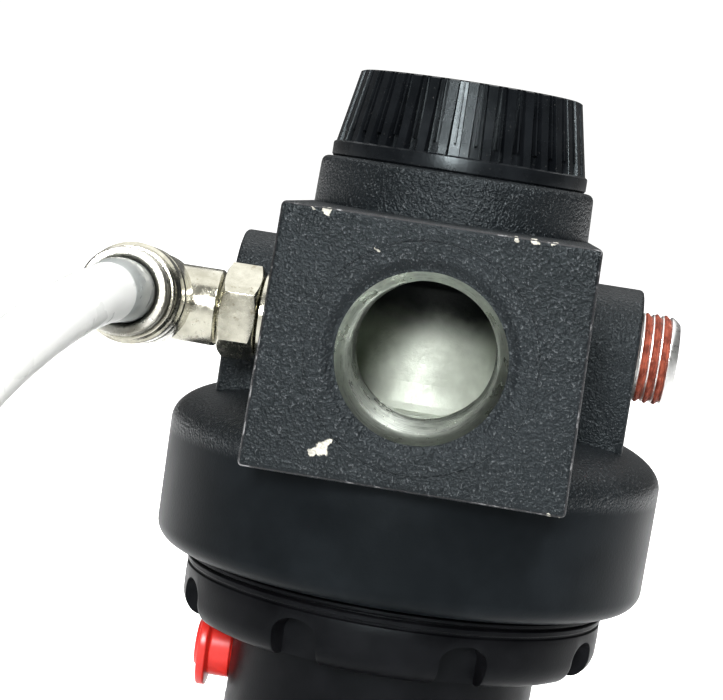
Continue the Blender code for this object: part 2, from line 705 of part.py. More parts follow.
def make_gauge_plugs(home, tools, finishes):
    start = 20.5 * MM
    length = PLUG_END - start
    profile = [
        (0, length),
        (PLUG_R - 1.0 * MM, length),
        (PLUG_R - 0.5 * MM, length - 0.4 * MM),
        (PLUG_R - 0.5 * MM, 0),
        (0, 0),
    ]
    location = (start, 0, BOSS_Z)
    plug = turned("gauge_port_plug", profile, home, finishes["zinc"], MEDIUM, closed=False, location=location)
    aim(plug, (1, 0, 0))
    deep, outside = (PLUG_END - 7 * MM, 0, BOSS_Z), (PLUG_END + MM, 0, BOSS_Z)
    socket = cylinder_mesh("socket_form", SOCKET_R, SOCKET_R, deep, outside, 6)
    boolean(plug, tool("socket_form", socket, tools))
    band = [(PLUG_R, 4.2 * MM), (PLUG_R, 0), (PLUG_R - 0.2 * MM, 0), (PLUG_R - 0.2 * MM, 4.2 * MM)]
    sealant = turned(
        "plug_sealant", band, home, finishes["sealant"], MEDIUM, location=(BOSS_END + 0.4 * MM, 0, BOSS_Z)
    )
    aim(sealant, (1, 0, 0))
    blind_length = 9.0 * MM
    blind = [
        (0, blind_length),
        (PLUG_R - 0.4 * MM, blind_length),
        (PLUG_R, blind_length - 0.4 * MM),
        (PLUG_R, 0),
        (0, 0),
    ]
    flush = turned(
        "blind_port_plug",
        blind,
        home,
        finishes["zinc"],
        MEDIUM,
        closed=False,
        location=(blind_length - BOSS_END + 0.6 * MM, 0, BOSS_Z),
    )
    aim(flush, (-1, 0, 0))
    outside, deep = (-BOSS_END - MM, 0, BOSS_Z), (5.5 * MM - BOSS_END, 0, BOSS_Z)
    socket = cylinder_mesh("blind_socket_form", SOCKET_R, SOCKET_R, outside, deep, 6)
    boolean(flush, tool("blind_socket_form", socket, tools))


def make_nipple(home, tools, finish):
    """Hexagon with a thread into the block and a smooth spigot for the elbow to turn on."""
    corner_r = HEX_FLATS / sqrt(3)
    bm = bmesh.new()
    width = HEX_START - HEX_END
    bmesh.ops.create_cone(bm, cap_ends=True, segments=6, radius1=corner_r, radius2=corner_r, depth=width)
    middle = ((HEX_START + HEX_END) / 2, AUX_Y, AUX_Z)
    turn = Matrix.Rotation(HEX_TURN, 4, "X") @ Matrix.Rotation(radians(90), 4, "Y")
    bmesh.ops.transform(bm, matrix=Matrix.Translation(middle) @ turn, verts=bm.verts)
    nipple = place("elbow_nipple", from_bmesh("elbow_nipple", bm), home, finish)
    profile = [
        (0, -12.0),
        (4.7, -12.0),
        (4.7, -24.6),
        (4.0, -24.6),
        (4.0, -29.0),
        (3.4, -29.0),
        (3.4, -33.0),
        (2.7, -33.0),
        (2.7, -34.8),
        (3.4, -34.8),
        (3.4, -36.6),
        (0, -36.6),
    ]
    shaft = turned(
        "nipple_shaft",
        [(r * MM, x * MM) for r, x in profile],
        tools,
        None,
        SMALL,
        closed=False,
        location=(0, AUX_Y, AUX_Z),
    )
    aim(as_tool(shaft), (1, 0, 0))
    boolean(nipple, shaft, "UNION")
    outer, inner = (-38 * MM, AUX_Y, AUX_Z), (-11 * MM, AUX_Y, AUX_Z)
    bore = cylinder_mesh("nipple_bore", 1.8 * MM, 1.8 * MM, outer, inner, SMALL)
    boolean(nipple, tool("nipple_bore", bore, tools))


def elbow_axis():
    """Empty at the elbow's centre, whose own -Y is the outlet's direction."""
    made = bpy.data.objects.new("elbow_centre", None)
    made.location = (ELBOW_X, AUX_Y, AUX_Z)
    made.rotation_euler = (ELBOW_TILT, 0, 0)
    return made


def outlet_turned(name, points, home, finish, centre):
    """Turned piece on the outlet's axis, heights in millimetres from the elbow's centre."""
    made = turned(name, [(r * MM, s * MM) for r, s in points], home, finish, MEDIUM, parent=centre)
    return aim(made, OUTLET_AXIS)


def elbow_form(name, radius, start, end, tools, centre):
    """Cylinder in the elbow's own frame, sizes in millimetres."""
    start = [value * MM for value in start]
    end = [value * MM for value in end]
    return tool(name, cylinder_mesh(name, radius * MM, radius * MM, start, end, MEDIUM), tools, centre)


def make_elbow(home, tools, finishes):
    centre = elbow_axis()
    home.objects.link(centre)
    barrel = [
        (6.3, 21.9),
        (6.45, 21.7),
        (6.45, 19.5),
        (6.9, 19.2),
        (6.9, 10.6),
        (6.5, 10.0),
        (6.5, 9.0),
        (6.6, 8.6),
        (6.6, -3.0),
        (5.2, -6.0),
        (2.0, -7.0),
        (2.0, 5.5),
        (4.35, 5.5),
        (4.35, 11.0),
        (5.9, 11.0),
        (5.9, 21.9),
    ]
    body = outlet_turned("elbow_body", barrel, home, finishes["nickel"], centre)
    arm_end = (HEX_END - GAP - ELBOW_X) / MM
    boolean(body, elbow_form("elbow_fill", 3.0, (0, 6.9, 0), (0, 1.0, 0), tools, centre), "UNION")
    boolean(body, elbow_form("elbow_arm", ELBOW_ARM_R, (2.2, 0, 0), (arm_end, 0, 0), tools, centre), "UNION")
    boolean(body, elbow_form("spigot_bore", 3.7, (3.0, 0, 0), (arm_end + 1.0, 0, 0), tools, centre))
    boolean(body, elbow_form("cross_bore", 2.2, (-1.0, 0, 0), (5.0, 0, 0), tools, centre))
    boolean(body, elbow_form("outlet_bore", 3.0, (0, 1.5, 0), (0, -6.0, 0), tools, centre))
    boolean(body, elbow_form("tube_bore", 4.35, (0, -5.5, 0), (0, -23.0, 0), tools, centre))
    seal_place = (0, -12.0 * MM, 0)
    ring("tube_seal", 4.95 * MM, 0.5 * MM, home, finishes["rubber"], seal_place, OUTLET_AXIS, centre, SMALL)
    grip = [(5.6, 15.2), (5.6, 12.9), (4.35, 12.9), (4.6, 15.2)]
    outlet_turned("collet", grip, home, finishes["steel"], centre)
    push = [(4.65, 26.2), (5.7, 26.2), (5.95, 25.9), (5.95, 23.2)]
    push += [(5.5, 23.2), (5.5, 16.6), (4.4, 16.6), (4.4, 25.4)]
    outlet_turned("release_ring", push, home, finishes["nickel"], centre)
    spigot_place = (-33.9 * MM, AUX_Y, AUX_Z)
    ring("elbow_o_ring", 3.1 * MM, 0.35 * MM, home, finishes["rubber"], spigot_place, (1, 0, 0), None, SMALL)


def tube_route():
    """Hand-set route of the tube, from its stop in the elbow to its cut end on the surface."""
    start = Vector((ELBOW_X, AUX_Y, AUX_Z))
    ahead = Vector((0, -cos(ELBOW_TILT), -sin(ELBOW_TILT)))
    inside = [start + ahead * s for s in (TUBE_STOP, 14 * MM, 22 * MM, 30 * MM)]
    outside = [
        (-40.6, -58.0, 115.1),
        (-42.3, -67.5, 113.7),
        (-45.1, -79.0, 110.1),
        (-48.6, -90.0, 103.8),
        (-52.2, -99.7, 93.5),
        (-55.6, -107.0, 80.0),
        (-58.6, -112.6, 64.0),
        (-61.2, -118.2, 47.0),
        (-63.2, -125.8, 30.0),
        (-64.2, -138.0, 14.8),
        (-63.9, -156.0, 5.8),
        (-62.0, -178.0, 4.3),
    ]
    return inside + [Vector(point) * MM for point in outside]


def make_tube(home, finish):
    curve_tube("tube", smooth_route(tube_route(), TUBE_STEP), TUBE_R, 4, home, finish)


def make_finishes():
    return {
        "black_paint": material("black_paint", (0.022, 0.023, 0.026), 0.45),
        "satin_black": material("satin_black", (0.018, 0.018, 0.02), 0.38),
        "black_plastic": material("black_plastic", (0.012, 0.012, 0.013), 0.25),
        "red_plastic": material("red_plastic", (0.7, 0.03, 0.015), 0.35),
        "nickel": material("nickel", (0.72, 0.67, 0.6), 0.22, 1.0),
        "steel": material("steel", (0.55, 0.55, 0.56), 0.3, 1.0),
        "zinc": material("zinc", (0.62, 0.63, 0.64), 0.35, 1.0),
        "brass": material("brass", (0.7, 0.52, 0.25), 0.3, 1.0),
        "rubber": material("rubber", (0.02, 0.02, 0.02), 0.6),
        "diaphragm": material("diaphragm", (0.05, 0.04, 0.035), 0.7),
        "white_plastic": material("white_plastic", (0.75, 0.74, 0.7), 0.5),
        "sealant": material("sealant", (0.38, 0.08, 0.04), 0.55),
        "tube_nylon": material("tube_nylon", (0.85, 0.87, 0.86), 0.3),
    }


def main():
    clear_scene()
    home = collection("air_pressure_regulator")
    tools = collection("cutters")
    finishes = make_finishes()
    make_body(home, tools, finishes["black_paint"])
    make_valve_cap(home, tools, finishes["black_plastic"])
    make_valve(home, finishes)
    make_diaphragm(home, finishes)
    make_bonnet(home, tools, finishes["satin_black"])
    make_bonnet_plug(home, finishes["red_plastic"])
    make_drive(home, tools, finishes)
    make_knob(home, tools, finishes["black_plastic"], finishes["satin_black"])
    make_gauge_plugs(home, tools, finishes)
    make_nipple(home, tools, finishes["nickel"])
    make_elbow(home, tools, finishes)
    make_tube(home, finishes["tube_nylon"])


main()
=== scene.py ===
"""Looks of the air pressure regulator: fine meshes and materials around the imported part."""

from math import cos, pi, radians, sin, sqrt, tau

import bmesh
import bpy
from mathutils import Matrix, Vector, noise


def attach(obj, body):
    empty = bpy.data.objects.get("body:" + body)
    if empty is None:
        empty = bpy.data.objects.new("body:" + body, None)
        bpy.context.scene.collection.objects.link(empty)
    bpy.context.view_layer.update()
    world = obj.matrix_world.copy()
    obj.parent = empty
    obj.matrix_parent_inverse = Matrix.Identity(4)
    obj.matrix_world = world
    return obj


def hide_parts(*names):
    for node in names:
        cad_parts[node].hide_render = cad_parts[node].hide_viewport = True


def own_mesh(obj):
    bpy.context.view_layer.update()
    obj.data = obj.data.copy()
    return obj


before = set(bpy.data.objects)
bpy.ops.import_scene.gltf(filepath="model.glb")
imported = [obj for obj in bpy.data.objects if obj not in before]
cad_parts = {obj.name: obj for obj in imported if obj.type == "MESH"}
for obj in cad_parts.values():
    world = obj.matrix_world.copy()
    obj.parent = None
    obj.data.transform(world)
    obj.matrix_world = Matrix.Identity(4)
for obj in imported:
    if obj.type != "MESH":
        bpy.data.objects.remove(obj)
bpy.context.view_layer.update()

MM = 0.001
PORT_Z = 112.0
BLOCK_DEPTH = 43.5
BLOCK_TOP_HALF = 21.5
BLOCK_BOTTOM_HALF = 22.2
BLOCK_TOP = 18.1
BLOCK_BOTTOM = -18.0
BOSS_END = 30.5
BOSS_R = 10.0
BOSS_Z = 2.2
BOSS_FOOT = -12.6
PORT_PLUG_R = 7.1
VENT_Z = -51.9
AUX_Y = -21.0
AUX_Z = 1.0
ELBOW_X = -40.2
ELBOW_TILT = radians(-4.5)
HEX_START = -24.4
HEX_END = -29.7
RING_FACE = 26.2
TUBE_R = 3.82
TUBE_BORE_R = 2.6
STUB_R = 4.22
STUB_LENGTH = 29.8
STUB_TAPER = 2.5
STUB_DROP = 0.4
RIM_RISE = 0.35
RIM_LENGTH = 0.9
RIM_HEIGHT = 0.13
MAIN_PITCH = 1.62
PIPE_PITCH = 1.411
FINE_PITCH = 1.5
ROUND = 144
MEDIUM = 96
SMALL = 64
SMOOTH_ANGLE = radians(32)


# Shape helpers. Profiles are (radius, height) in millimetres.


def arc(centre, radii, start, end, steps):
    """Points on an elliptical arc between two angles in degrees."""
    angles = [radians(start + (end - start) * i / steps) for i in range(steps + 1)]
    return [(centre[0] + radii[0] * cos(a), centre[1] + radii[1] * sin(a)) for a in angles]


def rounded(points, radius, steps=3, closed=False):
    """Profile with its corners rounded, the ends of an open one left alone."""
    made = []
    last = len(points) - 1
    for i, point in enumerate(points):
        here = Vector(point)
        if not closed and i in (0, last):
            made.append(tuple(here))
            continue
        back = Vector(points[i - 1]) - here
        on = Vector(points[(i + 1) % len(points)]) - here
        turn = pi - back.angle(on, pi)
        if turn < radians(12):
            made.append(tuple(here))
            continue
        reach = min(radius * abs(sin(turn / 2) / cos(turn / 2)), 0.45 * back.length, 0.45 * on.length)
        start = here + back.normalized() * reach
        end = here + on.normalized() * reach
        for k in range(steps + 1):
            t = k / steps
            made.append(tuple((1 - t) ** 2 * start + 2 * t * (1 - t) * here + t * t * end))
    return made


def solid_from(bm, name, finish, angle=SMOOTH_ANGLE):
    """Object from an edit mesh, which it frees, smooth but for edges sharper than the angle."""
    bmesh.ops.recalc_face_normals(bm, faces=bm.faces)
    mesh = bpy.data.meshes.new(name)
    bm.to_mesh(mesh)
    bm.free()
    mesh.materials.append(finish)
    mesh.shade_smooth()
    mesh.set_sharp_from_angle(angle=angle)
    made = bpy.data.objects.new(name, mesh)
    bpy.context.scene.collection.objects.link(made)
    return made


def lathe(
    name,
    profile,
    finish,
    segments=MEDIUM,
    closed=False,
    at=(0, 0, PORT_Z),
    axis=(0, 0, 1),
    lift=None,
):
    """Turned solid. lift(angle, radius, height) may move a point in or out."""
    bm = bmesh.new()
    rows = []
    for r, z in profile:
        if r < 1e-6:
            rows.append([bm.verts.new((0, 0, z * MM))])
            continue
        row = []
        for i in range(segments):
            a = tau * i / segments
            radius = lift(a, r, z) if lift else r
            row.append(bm.verts.new((radius * cos(a) * MM, radius * sin(a) * MM, z * MM)))
        rows.append(row)
    pairs = list(zip(rows, rows[1:]))
    if closed:
        pairs.append((rows[-1], rows[0]))
    for top, low in pairs:
        for i in range(segments):
            j = (i + 1) % segments
            corner = [top[i % len(top)], low[i % len(low)], low[j % len(low)], top[j % len(top)]]
            face = [v for k, v in enumerate(corner) if v not in corner[:k]]
            if len(face) > 2:
                bm.faces.new(face)
    turn = Vector(axis).to_track_quat("Z", "Y").to_matrix().to_4x4()
    place = Matrix.Translation(Vector(at) * MM) @ turn
    bmesh.ops.transform(bm, matrix=place, verts=bm.verts)
    return solid_from(bm, name, finish)


def turned_ring(name, profile, corner, finish, segments):
    """Closed turned ring with rounded corners."""
    return lathe(name, rounded(profile, corner, 3, True), finish, segments, True)


def rod(name, radius, start, end, finish, segments=MEDIUM):
    start, end = Vector(start), Vector(end)
    span = (end - start).length
    profile = [(0, span), (radius, span), (radius, 0), (0, 0)]
    return lathe(name, profile, finish, segments, at=start, axis=end - start)


def block(name, low, high, finish):
    low, high = Vector(low) * MM, Vector(high) * MM
    bm = bmesh.new()
    bmesh.ops.create_cube(bm, size=1.0)
    bmesh.ops.scale(bm, vec=high - low, verts=bm.verts)
    bmesh.ops.translate(bm, vec=(low + high) / 2, verts=bm.verts)
    return solid_from(bm, name, finish)


def prism(name, outline, low, high, matrix, finish):
    """Outline in the local XY plane, made solid between two heights."""
    bm = bmesh.new()
    bottom = [bm.verts.new((x * MM, y * MM, low * MM)) for x, y in outline]
    top = [bm.verts.new((x * MM, y * MM, high * MM)) for x, y in outline]
    bm.faces.new(bottom[::-1])
    bm.faces.new(top)
    count = len(outline)
    for i in range(count):
        j = (i + 1) % count
        bm.faces.new((bottom[i], bottom[j], top[j], top[i]))
    bmesh.ops.transform(bm, matrix=matrix, verts=bm.verts)
    return solid_from(bm, name, finish)


def hexagon(flats):
    corner = flats / sqrt(3)
    return [(corner * cos(tau * i / 6), corner * sin(tau * i / 6)) for i in range(6)]


def bevelled(made, width, segments=3, angle=radians(30)):
    step = made.modifiers.new("Edges", "BEVEL")
    step.width = width * MM
    step.segments = segments
    step.limit_method = "ANGLE"
    step.angle_limit = angle
    step.use_clamp_overlap = True
    return made


def bake(made):
    """The object with its modifiers made real."""
    ready = made.evaluated_get(bpy.context.evaluated_depsgraph_get())
    mesh = bpy.data.meshes.new_from_object(ready)
    mesh.name = made.name
    made.modifiers.clear()
    made.data = mesh
    return made


def drop(made):
    bpy.data.objects.remove(made, do_unlink=True)


def combine(target, others, operation):
    """Boolean with several operands, which are used up."""
    for other in others:
        step = target.modifiers.new(operation, "BOOLEAN")
        step.operation = operation
        step.solver = "EXACT"
        step.material_mode = "TRANSFER"
        step.object = other
        bake(target)
        drop(other)
    target.data.shade_smooth()
    target.data.set_sharp_from_angle(angle=SMOOTH_ANGLE)
    return target


def union(target, *others):
    return combine(target, others, "UNION")


def cut(target, *others):
    return combine(target, others, "DIFFERENCE")


def own(made, nodes, body):
    """Ties a finished piece to the CAD nodes it stands for, which it hides, and to their body."""
    nodes = [nodes] if isinstance(nodes, str) else nodes
    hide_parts(*nodes)
    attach(made, body)
    return made


def wire(name, points, radius, finish):
    """Round wire through points in metres, as a mesh with closed ends."""
    data = bpy.data.curves.new(name, "CURVE")
    data.dimensions = "3D"
    data.bevel_depth = radius * MM
    data.bevel_resolution = 3
    data.use_fill_caps = True
    spline = data.splines.new("POLY")
    spline.points.add(len(points) - 1)
    for point, co in zip(spline.points, points):
        point.co = (*co, 1)
    shape = bpy.data.objects.new(name, data)
    bpy.context.scene.collection.objects.link(shape)
    mesh = bpy.data.meshes.new_from_object(shape.evaluated_get(bpy.context.evaluated_depsgraph_get()))
    drop(shape)
    bm = bmesh.new()
    bm.from_mesh(mesh)
    bmesh.ops.remove_doubles(bm, verts=bm.verts, dist=0.000001)
    return solid_from(bm, name, finish, radians(50))


def spring(name, radius, thick, low, high, turns, finish, per_turn=40):
    """Compression spring with flat, ground-looking end turns."""
    low, high = low + thick, high - thick
    count = int(turns * per_turn)
    flat = 0.75 * per_turn
    seat = 2.2 * thick
    points = []
    for i in range(count + 1):
        angle = tau * i / per_turn
        share = min(max((i - flat) / (count - 2 * flat), 0.0), 1.0)
        ends = min(i, flat) / flat * seat - min(count - i, flat) / flat * seat + seat
        rise = PORT_Z + low + ends / 2 + share * (high - low - seat)
        points.append((radius * cos(angle) * MM, radius * sin(angle) * MM, rise * MM))
    return wire(name, points, thick, finish)


# Material helpers


class Finish:
    """A Principled material and the calls that build its procedural layers."""

    def __init__(self, name, roughness=0.5, metallic=0.0, **sockets):
        self.material = bpy.data.materials.new(name)
        self.material.use_nodes = True
        self.tree = self.material.node_tree
        self.shader = self.tree.nodes["Principled BSDF"]
        self.shader.inputs["Roughness"].default_value = roughness
        self.shader.inputs["Metallic"].default_value = metallic
        for socket, value in sockets.items():
            self.shader.inputs[socket.replace("_", " ")].default_value = value
        self.place = self.node("ShaderNodeTexCoord").outputs["Object"]

    def node(self, kind, **settings):
        made = self.tree.nodes.new(kind)
        for key, value in settings.items():
            setattr(made, key, value)
        return made

    def link(self, source, socket):
        if isinstance(source, (int, float)):
            socket.default_value = source
        elif isinstance(source, tuple):
            socket.default_value = (*source, 1.0) if len(source) == 3 and socket.type == "RGBA" else source
        else:
            self.tree.links.new(source, socket)

    def stretched(self, scale):
        made = self.node("ShaderNodeMapping")
        made.inputs["Scale"].default_value = scale
        self.link(self.place, made.inputs["Vector"])
        return made.outputs["Vector"]

    def noise(self, scale, detail=2.0, rough=0.5, vector=None):
        made = self.node("ShaderNodeTexNoise")
        made.inputs["Scale"].default_value = scale
        made.inputs["Detail"].default_value = detail
        made.inputs["Roughness"].default_value = rough
        self.link(vector or self.place, made.inputs["Vector"])
        return made.outputs["Fac"]

    def math(self, operation, a, b=0.0):
        made = self.node("ShaderNodeMath", operation=operation)
        self.link(a, made.inputs[0])
        self.link(b, made.inputs[1])
        return made.outputs[0]

    def range(self, value, low, high, to_low=0.0, to_high=1.0):
        """The value eased from one range to another, and held at its ends."""
        made = self.node("ShaderNodeMapRange", interpolation_type="SMOOTHSTEP")
        self.link(value, made.inputs["Value"])
        made.inputs["From Min"].default_value = low
        made.inputs["From Max"].default_value = high
        made.inputs["To Min"].default_value = to_low
        made.inputs["To Max"].default_value = to_high
        return made.outputs["Result"]

    def mix(self, factor, a, b):
        """A colour that goes from a to b. A Mix node's colours are its sockets 6 and 7."""
        made = self.node("ShaderNodeMix", data_type="RGBA")
        self.link(factor, made.inputs["Factor"])
        self.link(a, made.inputs[6])
        self.link(b, made.inputs[7])
        return made.outputs[2]

    def blend(self, factor, a, b):
        """A number that goes from a to b."""
        made = self.node("ShaderNodeMix", data_type="FLOAT")
        self.link(factor, made.inputs[0])
        self.link(a, made.inputs[2])
        self.link(b, made.inputs[3])
        return made.outputs[0]

    def axis(self, letter):
        made = self.node("ShaderNodeSeparateXYZ")
        self.link(self.place, made.inputs[0])
        return made.outputs[letter]

    def bump(self, height, distance, strength=1.0):
        """Normal for a height of this many millimetres."""
        made = self.node("ShaderNodeBump")
        made.inputs["Distance"].default_value = distance * MM
        self.link(strength, made.inputs["Strength"])
        self.link(height, made.inputs["Height"])
        return made.outputs["Normal"]

    def set(self, socket, source):
        self.link(source, self.shader.inputs[socket])


def near(finish, source, centre, reach):
    """1 close to a point given in millimetres, 0 beyond its reach."""
    made = finish.node("ShaderNodeVectorMath", operation="DISTANCE")
    finish.link(source, made.inputs[0])
    made.inputs[1].default_value = Vector(centre) * MM
    return finish.range(made.outputs["Value"], reach * MM, reach * 0.8 * MM)


# Chips in the paint: a place on the block's front face and a size, in millimetres.
CHIPS = [
    ((-11.2, -43.5, 98.3), 1.05),
    ((-12.3, -43.5, 97.6), 0.65),
    ((-10.6, -43.5, 99.2), 0.5),
    ((-15.3, -43.3, 129.6), 0.7),
    ((-17.0, -43.3, 129.6), 0.35),
    ((10.0, -43.3, 129.8), 0.55),
    ((12.3, -43.3, 129.8), 0.65),
    ((15.1, -43.3, 129.9), 0.4),
    ((19.9, -43.3, 94.1), 0.4),
    ((21.4, -43.3, 94.0), 0.35),
    ((-7.9, -43.5, 125.5), 0.3),
]
# Cool tint in the reflections of paint and plastic: the colour of a cool light, painted into the materials.
COOL_LIGHT_TINT = (0.84, 0.96, 1.0, 1.0)
SMOOTH_BELOW = 0.0925
COARSE_ABOVE = 0.0945
# Heights where the passages go dark: painted shadow of the ports' upper lip.
LIP_SHADOW_FROM = 0.1145
LIP_SHADOW_FULL = 0.1205
CHIP_RAGGED = 0.0018


def ragged_place(made):
    """Coordinates shaken sideways, so that a chip's outline is uneven."""
    wobble = made.node("ShaderNodeTexNoise")
    wobble.inputs["Scale"].default_value = 900
    wobble.inputs["Detail"].default_value = 3
    made.link(made.place, wobble.inputs["Vector"])
    moved = made.node("ShaderNodeVectorMath", operation="SUBTRACT")
    made.link(made.place, moved.inputs[0])
    moved.inputs[1].default_value = (CHIP_RAGGED / 2, 0.0, CHIP_RAGGED / 2)
    shift = made.node("ShaderNodeVectorMath", operation="MULTIPLY_ADD")
    made.link(wobble.outputs["Color"], shift.inputs[0])
    shift.inputs[1].default_value = (CHIP_RAGGED, 0.0, CHIP_RAGGED)
    made.link(moved.outputs[0], shift.inputs[2])
    return shift.outputs[0]


def chipped(made):
    """1 on the chips in the paint, 0 elsewhere."""
    place = ragged_place(made)
    spots = [near(made, place, centre, reach) for centre, reach in CHIPS]
    chip = spots[0]
    for spot in spots[1:]:
        chip = made.math("MAXIMUM", chip, spot)
    return chip


def cast_paint():
    """Black paint on the casting: coarse on the block and collar, smooth on the round housing."""
    made = Finish("cast_paint")
    # Painted light colour: reflections tinted cool.
    made.shader.inputs["Specular Tint"].default_value = COOL_LIGHT_TINT
    grain = made.noise(3000, 2.0, 0.5)
    lumps = made.noise(1500, 2, 0.5)
    coarse = made.range(made.axis("Z"), SMOOTH_BELOW, COARSE_ABOVE)
    cloud = made.noise(60, 4, 0.6)
    base = made.mix(made.range(cloud, 0.35, 0.7), (0.0035, 0.0046, 0.0056), (0.008, 0.01, 0.0118))
    # Bright specks on the peaks of the grain, on the block and collar: dust, and painted glint of light on
    # the bumps.
    specks = made.math("MULTIPLY", made.range(grain, 0.6, 0.72), coarse)
    base = made.mix(made.math("MULTIPLY", specks, 0.6), base, (0.12, 0.13, 0.135))
    chip = chipped(made)
    primer = made.mix(made.range(made.noise(1300, 2), 0.4, 0.6), (0.62, 0.6, 0.52), (0.38, 0.37, 0.32))
    made.set("Base Color", made.mix(chip, base, primer))
    satin = made.range(cloud, 0.3, 0.7, 0.34, 0.42)
    glossy = made.range(cloud, 0.3, 0.7, 0.3, 0.38)
    made.set("Roughness", made.blend(chip, made.blend(coarse, satin, glossy), 0.8))
    made.set("Specular IOR Level", made.blend(coarse, 0.08, 0.25))
    height = made.math("ADD", made.math("MULTIPLY", grain, 0.8), made.math("MULTIPLY", lumps, 0.9))
    height = made.math("SUBTRACT", height, made.math("MULTIPLY", chip, 0.6))
    made.set("Normal", made.bump(height, 0.3, made.blend(coarse, 0.05, 0.8)))
    return made.material


def worn_edge_and_highlight():
    """Crest of the block's edges: bare metal in patches, partly where the paint is rubbed through and partly
    a painted highlight along the edge.
    """
    made = Finish("worn_edge_and_highlight", roughness=0.4)
    patch = made.noise(420, 4, 0.65)
    wear_and_highlight = made.range(patch, 0.53, 0.66)
    # Bare metal in patches: wear, and a painted edge highlight.
    made.set("Base Color", made.mix(wear_and_highlight, (0.012, 0.012, 0.014), (0.4, 0.4, 0.41)))
    made.set("Metallic", made.math("MULTIPLY", wear_and_highlight, 0.7))
    made.set("Roughness", made.range(patch, 0.4, 0.6, 0.45, 0.35))
    made.set("Normal", made.bump(patch, 0.05, 0.6))
    return made.material


def cast_bare():
    """Unpainted sand-cast metal inside the passages, darkened in their upper part as a painted shadow of the
    port's upper lip.
    """
    made = Finish("cast_bare", metallic=0.25)
    grain = made.noise(1300, 4, 0.7)
    cloud = made.noise(140, 3, 0.6)
    bare = made.mix(made.range(cloud, 0.3, 0.7), (0.5, 0.54, 0.47), (0.78, 0.84, 0.74))
    # Painted shadow: dark towards the top of the passages, shaded by the port's upper lip.
    height = made.math("ADD", made.axis("Z"), made.math("MULTIPLY", cloud, 0.006))
    lip_shadow = made.range(height, LIP_SHADOW_FROM, LIP_SHADOW_FULL)
    made.set("Base Color", made.mix(lip_shadow, bare, (0.03, 0.034, 0.034)))
    made.set("Roughness", made.range(grain, 0.3, 0.7, 0.42, 0.62))
    height = made.math("ADD", grain, made.math("MULTIPLY", cloud, 1.5))
    made.set("Normal", made.bump(height, 0.14, 0.7))
    return made.material


def machined():
    """Cut threads and bores: bright, with fine rings and a few stains."""
    made = Finish("machined", metallic=1.0)
    streak = made.noise(1.0, 3, 0.6, vector=made.stretched((250, 5200, 250)))
    stain = made.noise(210, 4, 0.65)
    shade = made.mix(made.range(stain, 0.32, 0.66), (0.16, 0.175, 0.16), (0.5, 0.53, 0.48))
    made.set("Base Color", made.mix(made.range(streak, 0.35, 0.65), shade, (0.36, 0.385, 0.35)))
    made.set("Roughness", made.range(stain, 0.3, 0.7, 0.42, 0.24))
    made.set("Normal", made.bump(streak, 0.03, 0.5))
    return made.material


def plastic(name, dark, light, low, high, grain_depth, speck=0.0, shine=0.5):
    """Moulded plastic or smooth paint: two close tones, a roughness range, a fine grain and dust."""
    made = Finish(name, Specular_IOR_Level=shine)
    # Painted light colour: reflections tinted cool.
    made.shader.inputs["Specular Tint"].default_value = COOL_LIGHT_TINT
    cloud = made.noise(160, 4, 0.6)
    fine = made.noise(2600, 2, 0.5)
    base = made.mix(made.range(cloud, 0.3, 0.7), dark, light)
    if speck:
        specks = made.range(made.noise(1900, 3, 0.7), 0.66, 0.76)
        base = made.mix(made.math("MULTIPLY", specks, speck), base, (0.35, 0.34, 0.32))
    made.set("Base Color", base)
    made.set("Roughness", made.range(cloud, 0.3, 0.7, low, high))
    made.set("Normal", made.bump(fine, grain_depth, 0.5))
    return made.material


def metal(name, dark, light, low, high, scratch=(900, 120, 900), depth=0.02, stain=None):
    """Bare or plated metal with directional scratches and faint tarnish."""
    made = Finish(name, metallic=1.0)
    lines = made.noise(1.0, 4, 0.7, vector=made.stretched(scratch))
    cloud = made.noise(230, 4, 0.6)
    base = made.mix(made.range(cloud, 0.3, 0.72), light, dark)
    if stain:
        spots = made.range(made.noise(620, 3, 0.7), 0.6, 0.72)
        base = made.mix(made.math("MULTIPLY", spots, 0.7), base, stain)
    made.set("Base Color", base)
    made.set("Roughness", made.range(lines, 0.3, 0.7, low, high))
    made.set("Normal", made.bump(lines, depth, 0.5))
    return made.material


def nylon():
    """Milky, slightly translucent tube, greyer on the stub that goes into the fitting, where the grey is
    painted shade of the fitting's mouth.
    """
    made = Finish("milky_nylon", Subsurface_Weight=0.5, Subsurface_Scale=0.003)
    made.shader.inputs["Subsurface Radius"].default_value = (1.0, 1.0, 0.95)
    cloud = made.noise(120, 3, 0.6)
    haze = made.noise(38, 2, 0.5)
    base = made.mix(made.range(cloud, 0.3, 0.7), (0.84, 0.85, 0.81), (0.9, 0.91, 0.87))
    base = made.mix(made.range(haze, 0.4, 0.7, 0, 0.4), base, (0.77, 0.79, 0.76))
    # Painted shade: the stub inside the fitting is coloured grey, as if shaded by the fitting.
    stub = made.range(made.axis("Y"), -0.0572, -0.0566)
    base = made.mix(stub, base, (0.33, 0.35, 0.34))
    made.set("Base Color", base)
    made.set("Roughness", made.range(cloud, 0.3, 0.7, 0.24, 0.36))
    made.set("Normal", made.bump(made.noise(900, 2), 0.015, 0.4))
    return made.material


def sealant_skin():
    """Dried red-brown thread sealant."""
    made = Finish("thread_sealant", Specular_IOR_Level=0.15)
    cloud = made.noise(700, 4, 0.65)
    base = made.mix(made.range(cloud, 0.35, 0.65), (0.12, 0.022, 0.012), (0.3, 0.07, 0.04))
    made.set("Base Color", made.mix(made.range(made.noise(1700, 3), 0.64, 0.74), base, (0.42, 0.16, 0.11)))
    made.set("Roughness", made.range(cloud, 0.3, 0.7, 0.5, 0.7))
    made.set("Normal", made.bump(cloud, 0.16, 0.8))
    return made.material


